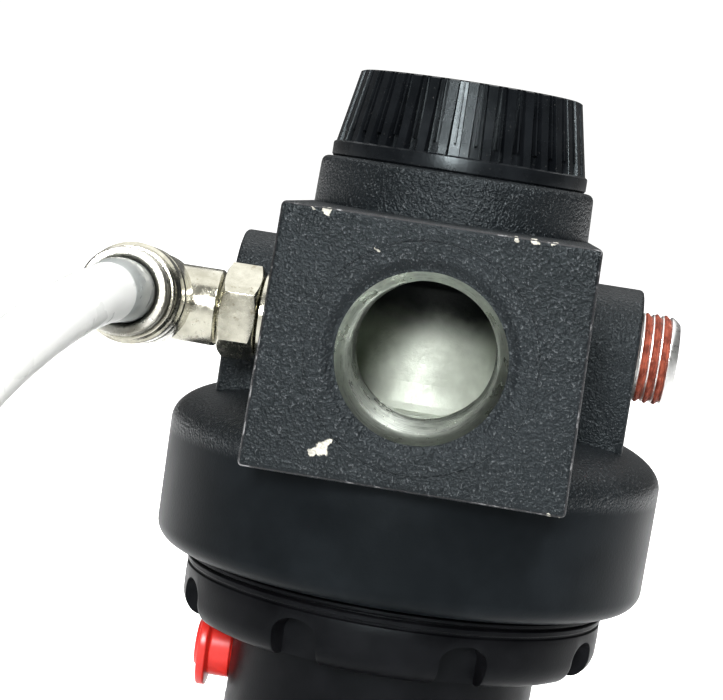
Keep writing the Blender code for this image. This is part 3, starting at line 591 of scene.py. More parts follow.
def rubber(name, dark, light, weave=0.0):
    """Black rubber, with the print of its fabric where weave is above 0."""
    made = Finish(name)
    cloud = made.noise(500, 3, 0.6)
    made.set("Base Color", made.mix(made.range(cloud, 0.3, 0.7), dark, light))
    made.set("Roughness", made.range(cloud, 0.3, 0.7, 0.5, 0.72))
    height = cloud
    if weave:
        wave_x = made.math("SINE", made.math("MULTIPLY", made.axis("X"), 9000.0))
        wave_y = made.math("SINE", made.math("MULTIPLY", made.axis("Y"), 9000.0))
        woven = made.math("MULTIPLY", wave_x, wave_y)
        height = made.math("ADD", cloud, made.math("MULTIPLY", woven, weave))
    made.set("Normal", made.bump(height, 0.06, 0.6))
    return made.material


CAST = cast_paint()
EDGE = worn_edge_and_highlight()
BARE = cast_bare()
CUT_METAL = machined()
BONNET_PAINT = plastic(
    "bonnet_paint", (0.002, 0.002, 0.0025), (0.005, 0.005, 0.006), 0.34, 0.46, 0.03, shine=0.08
)
CAP_PLASTIC = plastic(
    "cap_plastic", (0.003, 0.0036, 0.0045), (0.006, 0.007, 0.0085), 0.22, 0.33, 0.02, 0.25, 0.26
)
KNOB_PLASTIC = plastic("knob_plastic", (0.009, 0.009, 0.01), (0.016, 0.016, 0.017), 0.38, 0.5, 0.05)
COVER_PLASTIC = plastic("cover_plastic", (0.03, 0.03, 0.033), (0.05, 0.05, 0.055), 0.42, 0.55, 0.06)
RED_PLASTIC = plastic("red_plastic", (0.55, 0.014, 0.01), (0.75, 0.03, 0.02), 0.24, 0.34, 0.02)
WHITE_PLASTIC = plastic("white_plastic", (0.68, 0.67, 0.62), (0.8, 0.79, 0.75), 0.35, 0.5, 0.02)
NICKEL = metal(
    "nickel", (0.4, 0.385, 0.31), (0.63, 0.615, 0.52), 0.14, 0.3, depth=0.06, stain=(0.26, 0.23, 0.16)
)
RING_NICKEL = metal(
    "ring_nickel",
    (0.28, 0.27, 0.23), (0.6, 0.59, 0.54),
    0.24,
    0.42,
    scratch=(2400, 2400, 2400),
    depth=0.12,
    stain=(0.25, 0.23, 0.18),
)
ZINC = metal("zinc", (0.68, 0.68, 0.67), (0.9, 0.9, 0.88), 0.25, 0.42, (300, 1500, 1500))
STEEL = metal("spring_steel", (0.36, 0.36, 0.38), (0.62, 0.62, 0.63), 0.25, 0.4, (1500, 1500, 300))
BRASS = metal("brass", (0.55, 0.38, 0.17), (0.8, 0.63, 0.33), 0.22, 0.36, (1500, 1500, 260))
SEALANT = sealant_skin()
RUBBER = rubber("seal_rubber", (0.012, 0.012, 0.012), (0.03, 0.03, 0.03))
DIAPHRAGM = rubber("diaphragm_rubber", (0.04, 0.03, 0.022), (0.075, 0.055, 0.042), 0.4)
NYLON = nylon()


# Stage and camera


def make_stage():
    floor = finish_floor()
    bpy.ops.mesh.primitive_plane_add(size=12, location=(0, 0, 0))
    ground = bpy.context.object
    ground.name = "floor"
    ground.data.materials.append(floor)
    make_world()
    area("ceiling_light", (0.0, 0.9, 2.0), (0.0, 0.9, 0), 3.6, 62.0)
    area("key_light", (-0.13, -1.14, 0.46), (0, 0, 0.1), 0.28, 0.7, 36)
    area("top_light", (0.25, -0.75, 0.95), (0, 0, 0.12), 0.25, 0.4, 36)
    bpy.context.scene.view_settings.view_transform = "Standard"


def make_world():
    """White behind the object, dimmer where it only lights it."""
    world = bpy.data.worlds.new("studio")
    bpy.context.scene.world = world
    world.use_nodes = True
    nodes, links = world.node_tree.nodes, world.node_tree.links
    seen = nodes.new("ShaderNodeLightPath").outputs["Is Camera Ray"]
    strength = nodes.new("ShaderNodeMapRange")
    strength.inputs["To Min"].default_value = 0.16
    strength.inputs["To Max"].default_value = 1.1
    links.new(seen, strength.inputs["Value"])
    back = nodes["Background"]
    back.inputs["Color"].default_value = (1.0, 1.0, 0.99, 1.0)
    links.new(strength.outputs["Result"], back.inputs["Strength"])


def finish_floor():
    """Pale floor that glows behind the object, as a lit studio sweep does."""
    made = Finish("pale_floor", roughness=0.6)
    cloud = made.noise(6, 3, 0.5)
    made.set("Base Color", made.mix(cloud, (0.86, 0.86, 0.86), (0.9, 0.9, 0.9)))
    made.shader.inputs["Emission Color"].default_value = (1, 1, 1, 1)
    made.set("Emission Strength", made.range(made.axis("Y"), -0.1, 0.35, 0.15, 1.0))
    return made.material


def area(name, location, target, size, power, spread=180):
    """Square light aimed at a point. A small spread, in degrees, keeps it off the floor in front."""
    data = bpy.data.lights.new(name, "AREA")
    data.size = size
    data.energy = power
    data.spread = radians(spread)
    made = bpy.data.objects.new(name, data)
    bpy.context.scene.collection.objects.link(made)
    made.location = location
    made.rotation_euler = (Vector(location) - Vector(target)).to_track_quat("Z", "Y").to_euler()


def make_camera():
    """Camera turned left, tipped down and rolled, as the photograph was taken."""
    yaw, pitch, roll = radians(3.21), radians(4.5), radians(8.8)
    ahead = Vector((-sin(yaw) * cos(pitch), cos(yaw) * cos(pitch), -sin(pitch)))
    right = Vector((cos(yaw), sin(yaw), 0))
    up = right.cross(ahead)
    tilted_right = right * cos(roll) + up * sin(roll)
    tilted_up = up * cos(roll) - right * sin(roll)
    data = bpy.data.cameras.new("camera")
    data.sensor_width = 36.0
    data.lens = 109.5
    data.clip_start = 0.02
    made = bpy.data.objects.new("camera", data)
    bpy.context.scene.collection.objects.link(made)
    turn = Matrix((tilted_right, tilted_up, -ahead)).transposed().to_4x4()
    made.matrix_world = Matrix.Translation((0.0083, -0.3338, 0.1349)) @ turn
    bpy.context.scene.camera = made


# The tube


def tube_route():
    """The route that the CAD tube follows, in metres."""
    start = Vector((ELBOW_X, AUX_Y, PORT_Z + AUX_Z))
    ahead = Vector((0, -cos(ELBOW_TILT), -sin(ELBOW_TILT)))
    inside = [start + ahead * s for s in (6.0, 14.0, 22.0, 30.0)]
    outside = [
        (-40.6, -58.0, 115.1), (-42.3, -67.5, 113.7), (-45.1, -79.0, 110.1), (-48.6, -90.0, 103.8),
        (-52.2, -99.7, 93.5), (-55.6, -107.0, 80.0), (-58.6, -112.6, 64.0), (-61.2, -118.2, 47.0),
        (-63.2, -125.8, 30.0), (-64.2, -138.0, 14.8), (-63.9, -156.0, 5.8), (-62.0, -178.0, 4.3),
    ]
    return [Vector(point) * MM for point in inside + outside]


def smooth_line(points, spacing):
    """Evenly spaced points on a Catmull-Rom curve through the route."""
    ends = [2 * points[0] - points[1], *points, 2 * points[-1] - points[-2]]
    dense = []
    for a, b, c, d in zip(ends, ends[1:], ends[2:], ends[3:]):
        for step in range(24):
            t = step / 24
            square = (2 * a - 5 * b + 4 * c - d) * t**2
            cube = (3 * b - a - 3 * c + d) * t**3
            dense.append(0.5 * (2 * b + (c - a) * t + square + cube))
    dense.append(ends[-2])
    length = sum((q - p).length for p, q in zip(dense, dense[1:]))
    count = round(length / spacing)
    made, walked, target = [dense[0]], 0.0, length / count
    for p, q in zip(dense, dense[1:]):
        span = (q - p).length
        while walked + span >= target - 1e-9 and len(made) < count:
            made.append(p.lerp(q, (target - walked) / span))
            target += length / count
        walked += span
    made.append(dense[-1])
    return made, length


def tube_radius(travelled):
    """Outer radius: the stub in the fitting, its shallow taper, then the rounded rim of the tube."""
    past = travelled - STUB_LENGTH
    if past < 0:
        return STUB_R - STUB_DROP * min(max((past + STUB_TAPER) / STUB_TAPER, 0.0), 1.0)
    rise = min(past / RIM_RISE, 1.0)
    rim = RIM_HEIGHT * max(1.0 - past / RIM_LENGTH, 0.0)
    return STUB_R - STUB_DROP + (TUBE_R + rim - STUB_R + STUB_DROP) * sqrt(1 - (1 - rise) ** 2)


def tube_line():
    """Points along the tube with its direction and the distance travelled, closer together at the rim."""
    line, length = smooth_line(tube_route(), 0.125 * MM)
    made = []
    for i, point in enumerate(line):
        travelled = length / MM * i / (len(line) - 1)
        fine = abs(travelled - STUB_LENGTH - 0.2) < 0.5
        if fine or i % 16 == 0 or i == len(line) - 1:
            ahead = line[min(i + 1, len(line) - 1)] - line[max(i - 1, 0)]
            made.append((point, ahead.normalized(), travelled))
    return made, length


def make_tube():
    """Hollow nylon tube with square-cut ends."""
    line, length = tube_line()
    sides = 48
    bm = bmesh.new()
    side = Vector((1, 0, 0))
    rings = []
    for point, ahead, travelled in line:
        side = (side - ahead * side.dot(ahead)).normalized()
        upright = ahead.cross(side)
        ring = []
        for radius in (tube_radius(travelled), TUBE_BORE_R):
            for k in range(sides):
                a = tau * k / sides
                ring.append(bm.verts.new(point + (side * cos(a) + upright * sin(a)) * radius * MM))
        rings.append(ring)
    for one, two in zip(rings, rings[1:]):
        for k in range(sides):
            n = (k + 1) % sides
            bm.faces.new((one[k], one[n], two[n], two[k]))
            bm.faces.new((one[sides + k], two[sides + k], two[sides + n], one[sides + n]))
    for ring in (rings[0], rings[-1]):
        for k in range(sides):
            n = (k + 1) % sides
            bm.faces.new((ring[k], ring[n], ring[sides + n], ring[sides + k]))
    tube = solid_from(bm, "nylon_tube", NYLON, radians(50))
    own(tube, "tube", "elbow")


# The casting


def thread_profile(radius, start, end, pitch, depth, taper=0.0):
    """Zigzag of a thread cut into a bore, as (radius, height) points."""
    made = []
    count = int((start - end) / pitch)
    for i in range(count):
        top = start - i * pitch
        shift = taper * i / max(count, 1)
        made.append((radius + shift, top))
        made.append((radius + shift, top - 0.12 * pitch))
        made.append((radius + depth + shift, top - 0.5 * pitch))
        made.append((radius + depth + shift, top - 0.62 * pitch))
    made.append((radius + taper, start - count * pitch))
    return made


def outside_thread(radius, start, end, pitch, depth):
    """The same zigzag cut inwards, for a thread round a rod."""
    return [(2 * radius - r, z) for r, z in thread_profile(radius, start, end, pitch, depth)]


def port_cutter(name, side):
    """Chamfered mouth, thread, relief and lip of a port, as one turned cutter."""
    thread = thread_profile(10.35, -2.6, -19.0, MAIN_PITCH, 0.75, -0.55)
    profile = [
        (0, 1), (11.7, 1), (11.7, -0.5), (11.6, -0.7), (10.75, -2.2),
        *thread,
        (9.75, -19.3), (9.75, -20.8), (10.1, -21.0), (10.1, -22.1), (9.5, -22.3), (9.35, -22.6),
        (9.35, -23.6), (0, -23.6),
    ]
    at = (0, side * BLOCK_DEPTH, PORT_Z)
    return lathe(name, profile, CUT_METAL, ROUND, at=at, axis=(0, side, 0))


def recess_cutter(name, side):
    """Painted hollow round the mouth, with a soft rolled edge."""
    profile = [(0, 1), (13.6, 1), (13.6, 0.02), (13.2, -0.04), (12.8, -0.2), (12.4, -0.48)]
    profile += [(12.0, -0.62), (0, -0.62)]
    at = (0, side * BLOCK_DEPTH, PORT_Z)
    return lathe(name, profile, CAST, ROUND, at=at, axis=(0, side, 0))


def ring_line(name, side):
    """Fine circle cut round the recess."""
    profile = [(15.9, 1), (15.82, -0.14), (15.58, -0.14), (15.5, 1)]
    at = (0, side * BLOCK_DEPTH, PORT_Z)
    return lathe(name, profile, CAST, ROUND, closed=True, at=at, axis=(0, side, 0))


def cast_cutter(name, side):
    """Cored space round the valve tower, with soft corners."""
    near_y, far_y = side * 5.0, side * 24.8
    low = (-14.7, min(near_y, far_y), PORT_Z - 10.0)
    high = (14.7, max(near_y, far_y), PORT_Z + 10.0)
    space = block(name, low, high, BARE)
    space = bake(bevelled(space, 4.5, 6))
    top = 9.3 if side < 0 else 20.0
    tower = [(0, top), (11.2, top), (12.3, top - 1.2), (12.5, -6), (13.2, -9.0), (14.5, -11), (0, -11)]
    return cut(space, lathe(name + "_tower", rounded(tower, 1.0, 4), BARE, ROUND))


def block_form():
    """Port block, a little wider at its foot, with rubbed-through paint and a painted edge highlight on the
    crests of its bevelled edges.
    """
    bm = bmesh.new()
    bmesh.ops.create_cube(bm, size=2.0)
    for vert in bm.verts:
        half = BLOCK_TOP_HALF if vert.co.z > 0 else BLOCK_BOTTOM_HALF
        height = PORT_Z + (BLOCK_TOP if vert.co.z > 0 else BLOCK_BOTTOM)
        vert.co = (vert.co.x * half * MM, vert.co.y * BLOCK_DEPTH * MM, height * MM)
    made = solid_from(bm, "block_form", CAST)
    made.data.materials.append(EDGE)
    bake(bevelled(made, 0.75, 5))
    # The crest faces of the bevels take the edge finish: wear, and a painted highlight along each edge.
    for face in made.data.polygons:
        parts = sorted(abs(n) for n in face.normal)
        if parts[1] > 0.55 and parts[2] < 0.83:
            face.material_index = 1
    return made


def boss_form():
    """Both gauge bosses as one arch-topped bar through the block."""
    foot = BOSS_FOOT - BOSS_Z
    outline = [(-BOSS_R, foot), (BOSS_R, foot), *arc((0, 0), (BOSS_R, BOSS_R), 0, 180, 40)]
    stand = Matrix.Translation((0, 0, (PORT_Z + BOSS_Z) * MM)) @ Matrix.Rotation(radians(90), 4, "Z")
    stand = stand @ Matrix.Rotation(radians(90), 4, "X")
    made = prism("bosses", outline, -BOSS_END, BOSS_END, stand, CAST)
    return bake(bevelled(made, 0.7, 3, radians(40)))


def outer_casting():
    """Round housing, collar, block, bosses and plinth in one."""
    dome = arc((25.0, -17.3), (12.4, 6.3), 90, 0, 24)
    edge = arc((33.9, -32.6), (3.3, 3.1), 0, -90, 12)
    collar = rounded([(0, 25.2), (20.7, 25.2), (20.95, 17.0), (20.95, -10.4)], 1.3, 5)
    core = lathe("housing", [*collar, *dome, *edge, (0, -35.7)], CAST, 192)
    plinth = block("plinth", (-29.6, -9.2, PORT_Z - 17.3), (29.6, 9.2, PORT_Z - 11.6), CAST)
    plinth = bake(bevelled(plinth, 0.8, 3))
    bosses = boss_form()
    return union(core, block_form(), bosses, plinth)


def turned_bores():
    """Chamber over the diaphragm, both main ports, and the threaded bore for the valve cap."""
    under = [(0, -17.5), (27.0, -17.5), (27.0, -22.0), (31.4, -22.0), (31.4, -35.1), (31.9, -35.7)]
    under += [(31.9, -37.0), (0, -37.0)]
    collar_bore = [(0, 26.2), (17.2, 26.2), (17.2, 25.2)]
    collar_bore += thread_profile(16.4, 24.6, 13.0, FINE_PITCH, 0.35)
    collar_bore += [(16.4, 11.5), (0, 11.5)]
    made = [lathe("lower_chamber", under, CUT_METAL, ROUND)]
    cutters = [(recess_cutter, "_recess"), (port_cutter, ""), (ring_line, "_ring"), (cast_cutter, "_cast")]
    for cutter, ending in cutters:
        for port, side in (("inlet", -1), ("outlet", 1)):
            made.append(cutter(port + ending, side))
    made.append(lathe("collar_bore", collar_bore, CUT_METAL, ROUND))
    return made


def drilled_bores():
    """Straight holes: the valve's, the passages and the side ports."""
    boss = PORT_Z + BOSS_Z
    aux = PORT_Z + AUX_Z
    passage = PORT_Z - 4.5
    return [
        rod("valve_chamber", 10.0, (0, 0, PORT_Z + 3), (0, 0, PORT_Z + 12.5), CUT_METAL),
        rod("orifice", 5.5, (0, 0, PORT_Z - 10), (0, 0, PORT_Z + 4), CUT_METAL, SMALL),
        rod("stem_guide", 2.5, (0, 0, PORT_Z - 18.5), (0, 0, PORT_Z - 9), CUT_METAL, SMALL),
        rod("outlet_passage", 4.6, (0, 0, passage), (0, 15, passage), BARE, SMALL),
        rod("feedback_hole", 1.2, (0, 19, PORT_Z - 20), (0, 19, PORT_Z - 8), CUT_METAL, 24),
        rod("right_port", PORT_PLUG_R, (19, 0, boss), (BOSS_END + 1, 0, boss), CUT_METAL),
        rod("left_port", PORT_PLUG_R, (-BOSS_END - 1, 0, boss), (-19, 0, boss), CUT_METAL),
        rod("aux_port", 5.0, (-24, AUX_Y, aux), (-8, AUX_Y, aux), CUT_METAL, SMALL),
    ]


def make_body():
    body = outer_casting()
    voids = [*turned_bores(), *drilled_bores()]
    cut(body, *voids)
    body.name = "body_casting"
    own(body, "body", "casing")


# Valve cap and valve. Heights of the cap's rows are above the ports' axis.

CAP_RIBS = 37
RIB_FOOT = 27.6
RIB_TOP = 38.3
RIB_TOP_R = 16.85
RIB_FOOT_R = 18.95
CAP_THREAD_R = 16.1
FIN_END = RIB_FOOT + 1.6


def groove_points(radius, height, grooved, finned):
    """One rib pitch as (share of the pitch, radius): flat rib, groove, and the thin fin in the groove."""
    down = min(max((RIB_TOP - height) / (RIB_TOP - RIB_FOOT), 0.0), 1.0)
    half = 0.24 + 0.05 * down
    depth = 0.45 + 1.2 * down if grooved else 0.0
    soft = 0.12 if grooved else 0.0
    crest = 0.12 if finned else depth
    sides = [(half + 0.02, 0.0), (half, soft), (half - 0.03, depth), (0.055, depth), (0.04, crest)]
    left = [(0.5 - across, radius - drop) for across, drop in sides]
    right = [(0.5 + across, radius - drop) for across, drop in reversed(sides)]
    return left + right


def ribbed_rows():
    """Rows of the cap from the middle of its top to the middle of its underside."""
    plain_top = [(14.2, 37.9), (14.6, 38.0), (15.0, 38.4), (15.4, 38.5), (16.35, 38.5), (16.6, 38.42)]
    foot = [(RIB_FOOT_R, RIB_FOOT - 0.02), (19.3, RIB_FOOT - 0.25), (19.35, RIB_FOOT - 0.5)]
    foot += [(19.35, 25.5), (19.1, 25.22)]
    skirt = [(CAP_THREAD_R, 25.22), (CAP_THREAD_R, 24.6), (14.4, 24.6), (14.4, 22.6), (CAP_THREAD_R, 22.6)]
    skirt += outside_thread(CAP_THREAD_R, 22.0, 13.6, FINE_PITCH, 0.5)
    inside = [(15.4, 13.0), (8.6, 13.0), (8.6, 24.0), (4.5, 25.0), (4.5, 31.4), (4.0, 32.0)]
    rows = [(z, groove_points(r, z, False, False)) for r, z in plain_top]
    for height in (RIB_TOP, 37.2, 35.5, 33.5, 31.5, FIN_END + 0.25, FIN_END, RIB_FOOT):
        radius = RIB_TOP_R + (RIB_FOOT_R - RIB_TOP_R) * (RIB_TOP - height) / (RIB_TOP - RIB_FOOT)
        rows.append((height, groove_points(radius, height, True, height > FIN_END)))
    rows += [(z, groove_points(r, z, False, False)) for r, z in foot + skirt + inside]
    return rows


def make_valve_cap():
    """Ribbed cap, built as rings of points that line up from one row to the next."""
    bm = bmesh.new()
    rings = [[bm.verts.new((0, 0, (PORT_Z + 37.9) * MM))]]
    for height, points in ribbed_rows():
        ring = []
        for rib in range(CAP_RIBS):
            for share, radius in points:
                a = tau * (rib + share) / CAP_RIBS
                place = (radius * cos(a) * MM, radius * sin(a) * MM, (PORT_Z + height) * MM)
                ring.append(bm.verts.new(place))
        rings.append(ring)
    rings.append([bm.verts.new((0, 0, (PORT_Z + 32.0) * MM))])
    for top, low in zip(rings, rings[1:]):
        count = max(len(top), len(low))
        for i in range(count):
            j = (i + 1) % count
            corner = [top[i % len(top)], low[i % len(low)], low[j % len(low)], top[j % len(top)]]
            bm.faces.new([v for k, v in enumerate(corner) if v not in corner[:k]])
    cap = solid_from(bm, "ribbed_cap", CAP_PLASTIC, radians(25))
    own(cap, "valve_cap", "casing")


def torus(name, major, minor, height, finish, at=(0, 0, PORT_Z), axis=(0, 0, 1), segments=MEDIUM):
    profile = [(major + minor * cos(tau * i / 20), height - minor * sin(tau * i / 20)) for i in range(20)]
    return lathe(name, profile, finish, segments, closed=True, at=at, axis=axis)


def make_valve():
    own(torus("cap_seal", 15.45, 0.7, 23.6, RUBBER), "cap_o_ring", "casing")
    poppet = [(0, 18), (4.1, 18), (4.1, 8.4), (7.8, 7.6), (7.8, 5.7), (3.1, 5.7), (2.2, 5.2)]
    poppet += [(2.2, -18.3), (1.8, -18.7), (0, -18.7)]
    own(lathe("poppet", rounded(poppet, 0.3), BRASS, SMALL), "valve_poppet", "valve")
    disc = [(7.6, 5.4), (7.6, 3.4), (3.4, 3.4), (3.4, 5.4)]
    own(turned_ring("seat_disc", disc, 0.25, RUBBER, SMALL), "valve_disc", "valve")
    top = 23.7
    small = spring("closing_spring", 6.2, 0.55, 8.3, top, 6, STEEL)
    own(small, "valve_spring", "casing")
    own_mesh(small)


# Diaphragm group


def make_diaphragm():
    """Sheet with one rolled fold, held at its rim and clamped at its middle."""
    face, thick = -22.4, 1.5
    wave = arc((22.3, face - 0.2), (2.8, 2.2), 180, 0, 20)
    under = arc((22.3, face - thick), (1.3, 1.2), 0, 180, 16)
    profile = [(4.0, face), (19.3, face), *wave, (25.4, face), (31.0, face), (31.0, face - thick), *under]
    profile.append((4.0, face - thick))
    sheet = lathe("rolling_diaphragm", profile, DIAPHRAGM, ROUND, True)
    own(sheet, "diaphragm", "plate")


def make_plates():
    """Metal parts that clamp the diaphragm and take the spring, and the ring under its rim."""
    plate = [(18.5, -24.3), (18.5, -25.9), (9.5, -25.9), (9.0, -28.2), (4.0, -28.2), (4.0, -24.3)]
    plate = turned_ring("spring_plate", plate, 0.4, ZINC, ROUND)
    own(plate, "diaphragm_plate", "plate")
    washer = [(12.0, -21.0), (12.0, -22.1), (4.0, -22.1), (4.0, -21.0)]
    own(turned_ring("clamp_washer", washer, 0.2, ZINC, MEDIUM), "hub_washer", "plate")
    hub = [(3.2, -19.0), (3.6, -19.5), (8.0, -19.5), (8.0, -20.7), (3.7, -20.7), (3.7, -30.0)]
    hub += [(1.2, -30.0), (1.2, -19.0)]
    own(turned_ring("relief_seat_hub", hub, 0.2, BRASS, SMALL), "relief_hub", "plate")
    slip = [(30.9, -24.2), (30.9, -25.2), (27.9, -25.2), (27.9, -24.2)]
    own(turned_ring("slip_washer", slip, 0.2, WHITE_PLASTIC, ROUND), "slip_ring", "casing")


# Bonnet

NOTCHES = 8
NOTCH_START = radians(22.5)
SKIRT_R = 32.6
FLAT_X = -22.7


def notch(name, angle):
    """Round-topped spanner notch, cut across the skirt."""
    half = 3.6
    outline = [(-half, -50.0), (half, -50.0), *arc((0, -42.5), (half, 2.5), 0, 180, 24)]
    stand = Matrix.Translation((0, 0, PORT_Z * MM)) @ Matrix.Rotation(angle, 4, "Z")
    stand = stand @ Matrix.Translation((0, -SKIRT_R * MM, 0)) @ Matrix.Rotation(radians(90), 4, "X")
    return prism(name, outline, -5, 5, stand, BONNET_PAINT)


def bonnet_profile():
    """Thread, rings, skirt and neck from the top, and back up the inside."""
    thread = outside_thread(31.0, -26.6, -34.6, FINE_PITCH, 0.5)
    outer = [(30.4, -25.5), (31.0, -26.1), *thread, (30.4, -35.2), (30.4, -36.2)]
    rings = [(31.9, -36.2), (32.3, -36.4), (32.3, -36.8), (31.9, -37.0), (31.2, -37.05), (31.2, -37.35)]
    rings += [(31.75, -37.4), (31.9, -37.6), (31.9, -38.1), (31.75, -38.3), (31.45, -38.4), (31.45, -38.6)]
    shell = [(31.8, -38.8), (31.85, -40.5), *arc((28.7, -42.6), (3.1, 3.6), 0, -82, 10)]
    neck = [(28.0, -46.2), (23.4, -46.2), (23.1, -61.0), (22.2, -62.0), (19.2, -62.0), (19.2, -77.8)]
    neck += [(17.9, -77.8), (17.9, -80.2), (19.2, -80.2), (19.2, -87.5), (18.7, -88.0), (4.3, -88.0)]
    neck += [(4.3, -84.0), (15.6, -84.0), (15.6, -46.2), (27.6, -34.0), (27.6, -25.5)]
    return [*outer, *rings, *shell, *rounded(neck, 0.5, 4)]


def make_bonnet():
    """Turned shell with its notches, keyway and vent cut, and every cut edge eased."""
    vent_z = PORT_Z + VENT_Z
    bonnet = lathe("bonnet_shell", bonnet_profile(), BONNET_PAINT, 192, True)
    tools = [notch(f"notch_{i}", NOTCH_START + i * tau / NOTCHES) for i in range(NOTCHES)]
    tools.append(block("keyway", (-17.6, -2.8, PORT_Z - 72), (17.6, 2.8, PORT_Z - 40), BONNET_PAINT))
    tools.append(rod("vent", 4.4, (-33, 0, vent_z), (-10, 0, vent_z), BONNET_PAINT, SMALL))
    tools.append(rod("vent_flat", 7.2, (-34, 0, vent_z), (FLAT_X, 0, vent_z), BONNET_PAINT))
    cut(bonnet, *tools)
    bake(bevelled(bonnet, 0.22, 2, radians(40)))
    bonnet.data.shade_smooth()
    bonnet.data.set_sharp_from_angle(angle=SMOOTH_ANGLE)
    own(bonnet, "bonnet", "casing")


def make_vent_plug():
    """Flanged push-in plug."""
    plug = [(0, 5.6), (3.4, 5.6), (3.8, 5.0), (6.5, 4.8), (6.5, 3.5), (4.8, 3.2), (4.8, 0)]
    plug += [(4.1, 0), (3.8, -5.5), (0, -5.5)]
    at = (FLAT_X - 0.3, 0, PORT_Z + VENT_Z)
    red = lathe("vent_plug", rounded(plug, 0.3), RED_PLASTIC, SMALL, at=at, axis=(-1, 0, 0))
    own(red, "bonnet_plug", "vent_plug")


# Adjusting drive


SPRING_TOP = -26.2
SCREW_R = 4.0


def make_range_spring():
    big = spring("adjusting_spring", 12.5, 1.5, -61.9, SPRING_TOP, 6.5, STEEL, 56)
    own(big, "range_spring", "casing")
    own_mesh(big)


def make_spring_button():
    """Nut under the spring, with the ears that keep it from turning."""
    button = [(4.3, -60.0), (10.0, -60.0), (10.5, -62.2), (15.2, -62.2), (15.2, -68.2), (4.3, -68.2)]
    nut = turned_ring("drive_nut", button, 0.4, ZINC, MEDIUM)
    ears = block("ears", (-17.3, -2.5, PORT_Z - 65.5), (17.3, 2.5, PORT_Z - 62.5), ZINC)
    bore = rod("nut_bore", 4.3, (0, 0, PORT_Z - 70), (0, 0, PORT_Z - 58), ZINC, SMALL)
    own(cut(union(nut, ears), bore), "spring_button", "button")


def make_screw():
    """Threaded spindle with its collar and clip groove, and the rings that go on it."""
    threads = outside_thread(SCREW_R, -58.2, -79.0, 1.25, 0.55)
    screw = [(0, -57.5), (3.4, -57.5), (3.9, -58.0), *threads, (SCREW_R, -79.3), (7.2, -79.4)]
    screw += [(7.5, -79.7), (7.5, -82.1), (7.2, -82.4), (SCREW_R, -82.4), (SCREW_R, -103.6)]
    screw += [(3.2, -103.6), (3.2, -104.8), (SCREW_R, -104.8), (SCREW_R, -106.6), (3.6, -107.0), (0, -107.0)]
    own(lathe("spindle", screw, STEEL, SMALL), "adjusting_screw", "screw")
    washer = [(8.5, -82.7), (8.5, -83.7), (4.3, -83.7), (4.3, -82.7)]
    washer = turned_ring("plain_washer", washer, 0.2, WHITE_PLASTIC, SMALL)
    own(washer, "thrust_washer", "casing")
    detent = torus("wire_detent", 18.95, 0.7, -79.0, STEEL, segments=ROUND)
    own(detent, "detent_ring", "casing")
    clip = [(6.2, -103.9), (6.2, -104.5), (3.5, -104.5), (3.5, -103.9)]
    clip = lathe("spindle_clip", rounded(clip, 0.12, 2, True), STEEL, SMALL, True)
    own(clip, "knob_clip", "screw")


KNOB_RIBS = 24
GRIP_FOOT = 5.0
GRIP_TOP = 39.0
GRIP_FADE = 3.0
GRIP_DEPTH = 1.1


def knob_lift(angle, radius, height):
    """Rounded finger grooves on the knob's side."""
    if radius < 24.5 or not GRIP_FOOT < height < GRIP_TOP:
        return radius
    fade = min((height - GRIP_FOOT) / GRIP_FADE, (GRIP_TOP - height) / GRIP_FADE, 1.0)
    wave = 0.5 + 0.5 * cos(angle * KNOB_RIBS)
    return radius - GRIP_DEPTH * fade * wave**3


def make_knob():
    """Grooved knob and the disc in its end. Heights are above the knob's flat end."""
    side = [(26.3, 41.0 - i) for i in range(37)]
    foot = arc((25.4, 1.2), (1.2, 1.2), 0, -90, 6)
    profile = [(20.9, 41.5), (25.7, 41.5), *side, (26.6, 3.8), *foot]
    profile += [(16.3, 0.0), (16.3, 1.9), (8.0, 1.9), (8.0, 8.4), (4.3, 8.4)]
    profile += [(4.3, 16.5), (20.6, 16.5), (20.6, 41.2)]
    knob = lathe("grip_knob", profile, KNOB_PLASTIC, KNOB_RIBS * 14, True, at=(0, 0, 0), lift=knob_lift)
    own(knob, "knob", "knob")
    cover = [(0, 1.6), (15.6, 1.6), (16.0, 1.3), (16.0, 0.0), (13.4, 0.0), (13.2, 0.2)]
    cover += [(12.4, 0.2), (12.2, 0.0), (0, 0.0)]
    cover = lathe("end_disc", cover, COVER_PLASTIC, MEDIUM, at=(0, 0, 0))
    own(cover, "knob_cover", "knob")


# Gauge port plugs


PLUG_R = 6.65
KEY_FLATS = 6.8
SEALANT_TURNS = 3
SEALANT_R = 6.88


def key_socket(plug, x, side):
    """Cuts the hexagon socket into a plug, from its head inwards."""
    stand = Matrix.Translation((x * MM, 0, (PORT_Z + BOSS_Z) * MM))
    stand = stand @ Matrix.Rotation(side * radians(90), 4, "Y")
    return cut(plug, prism("socket", hexagon(KEY_FLATS), 0, 9, stand, ZINC))


def uneven(angle, radius, height):
    """Uneven outside for the dried sealant."""
    if radius < 6.0:
        return radius
    spot = Vector((cos(angle) * 3, sin(angle) * 3, height * 1.5))
    return min(radius + 0.14 * noise.noise(spot) - 0.04, SEALANT_R)


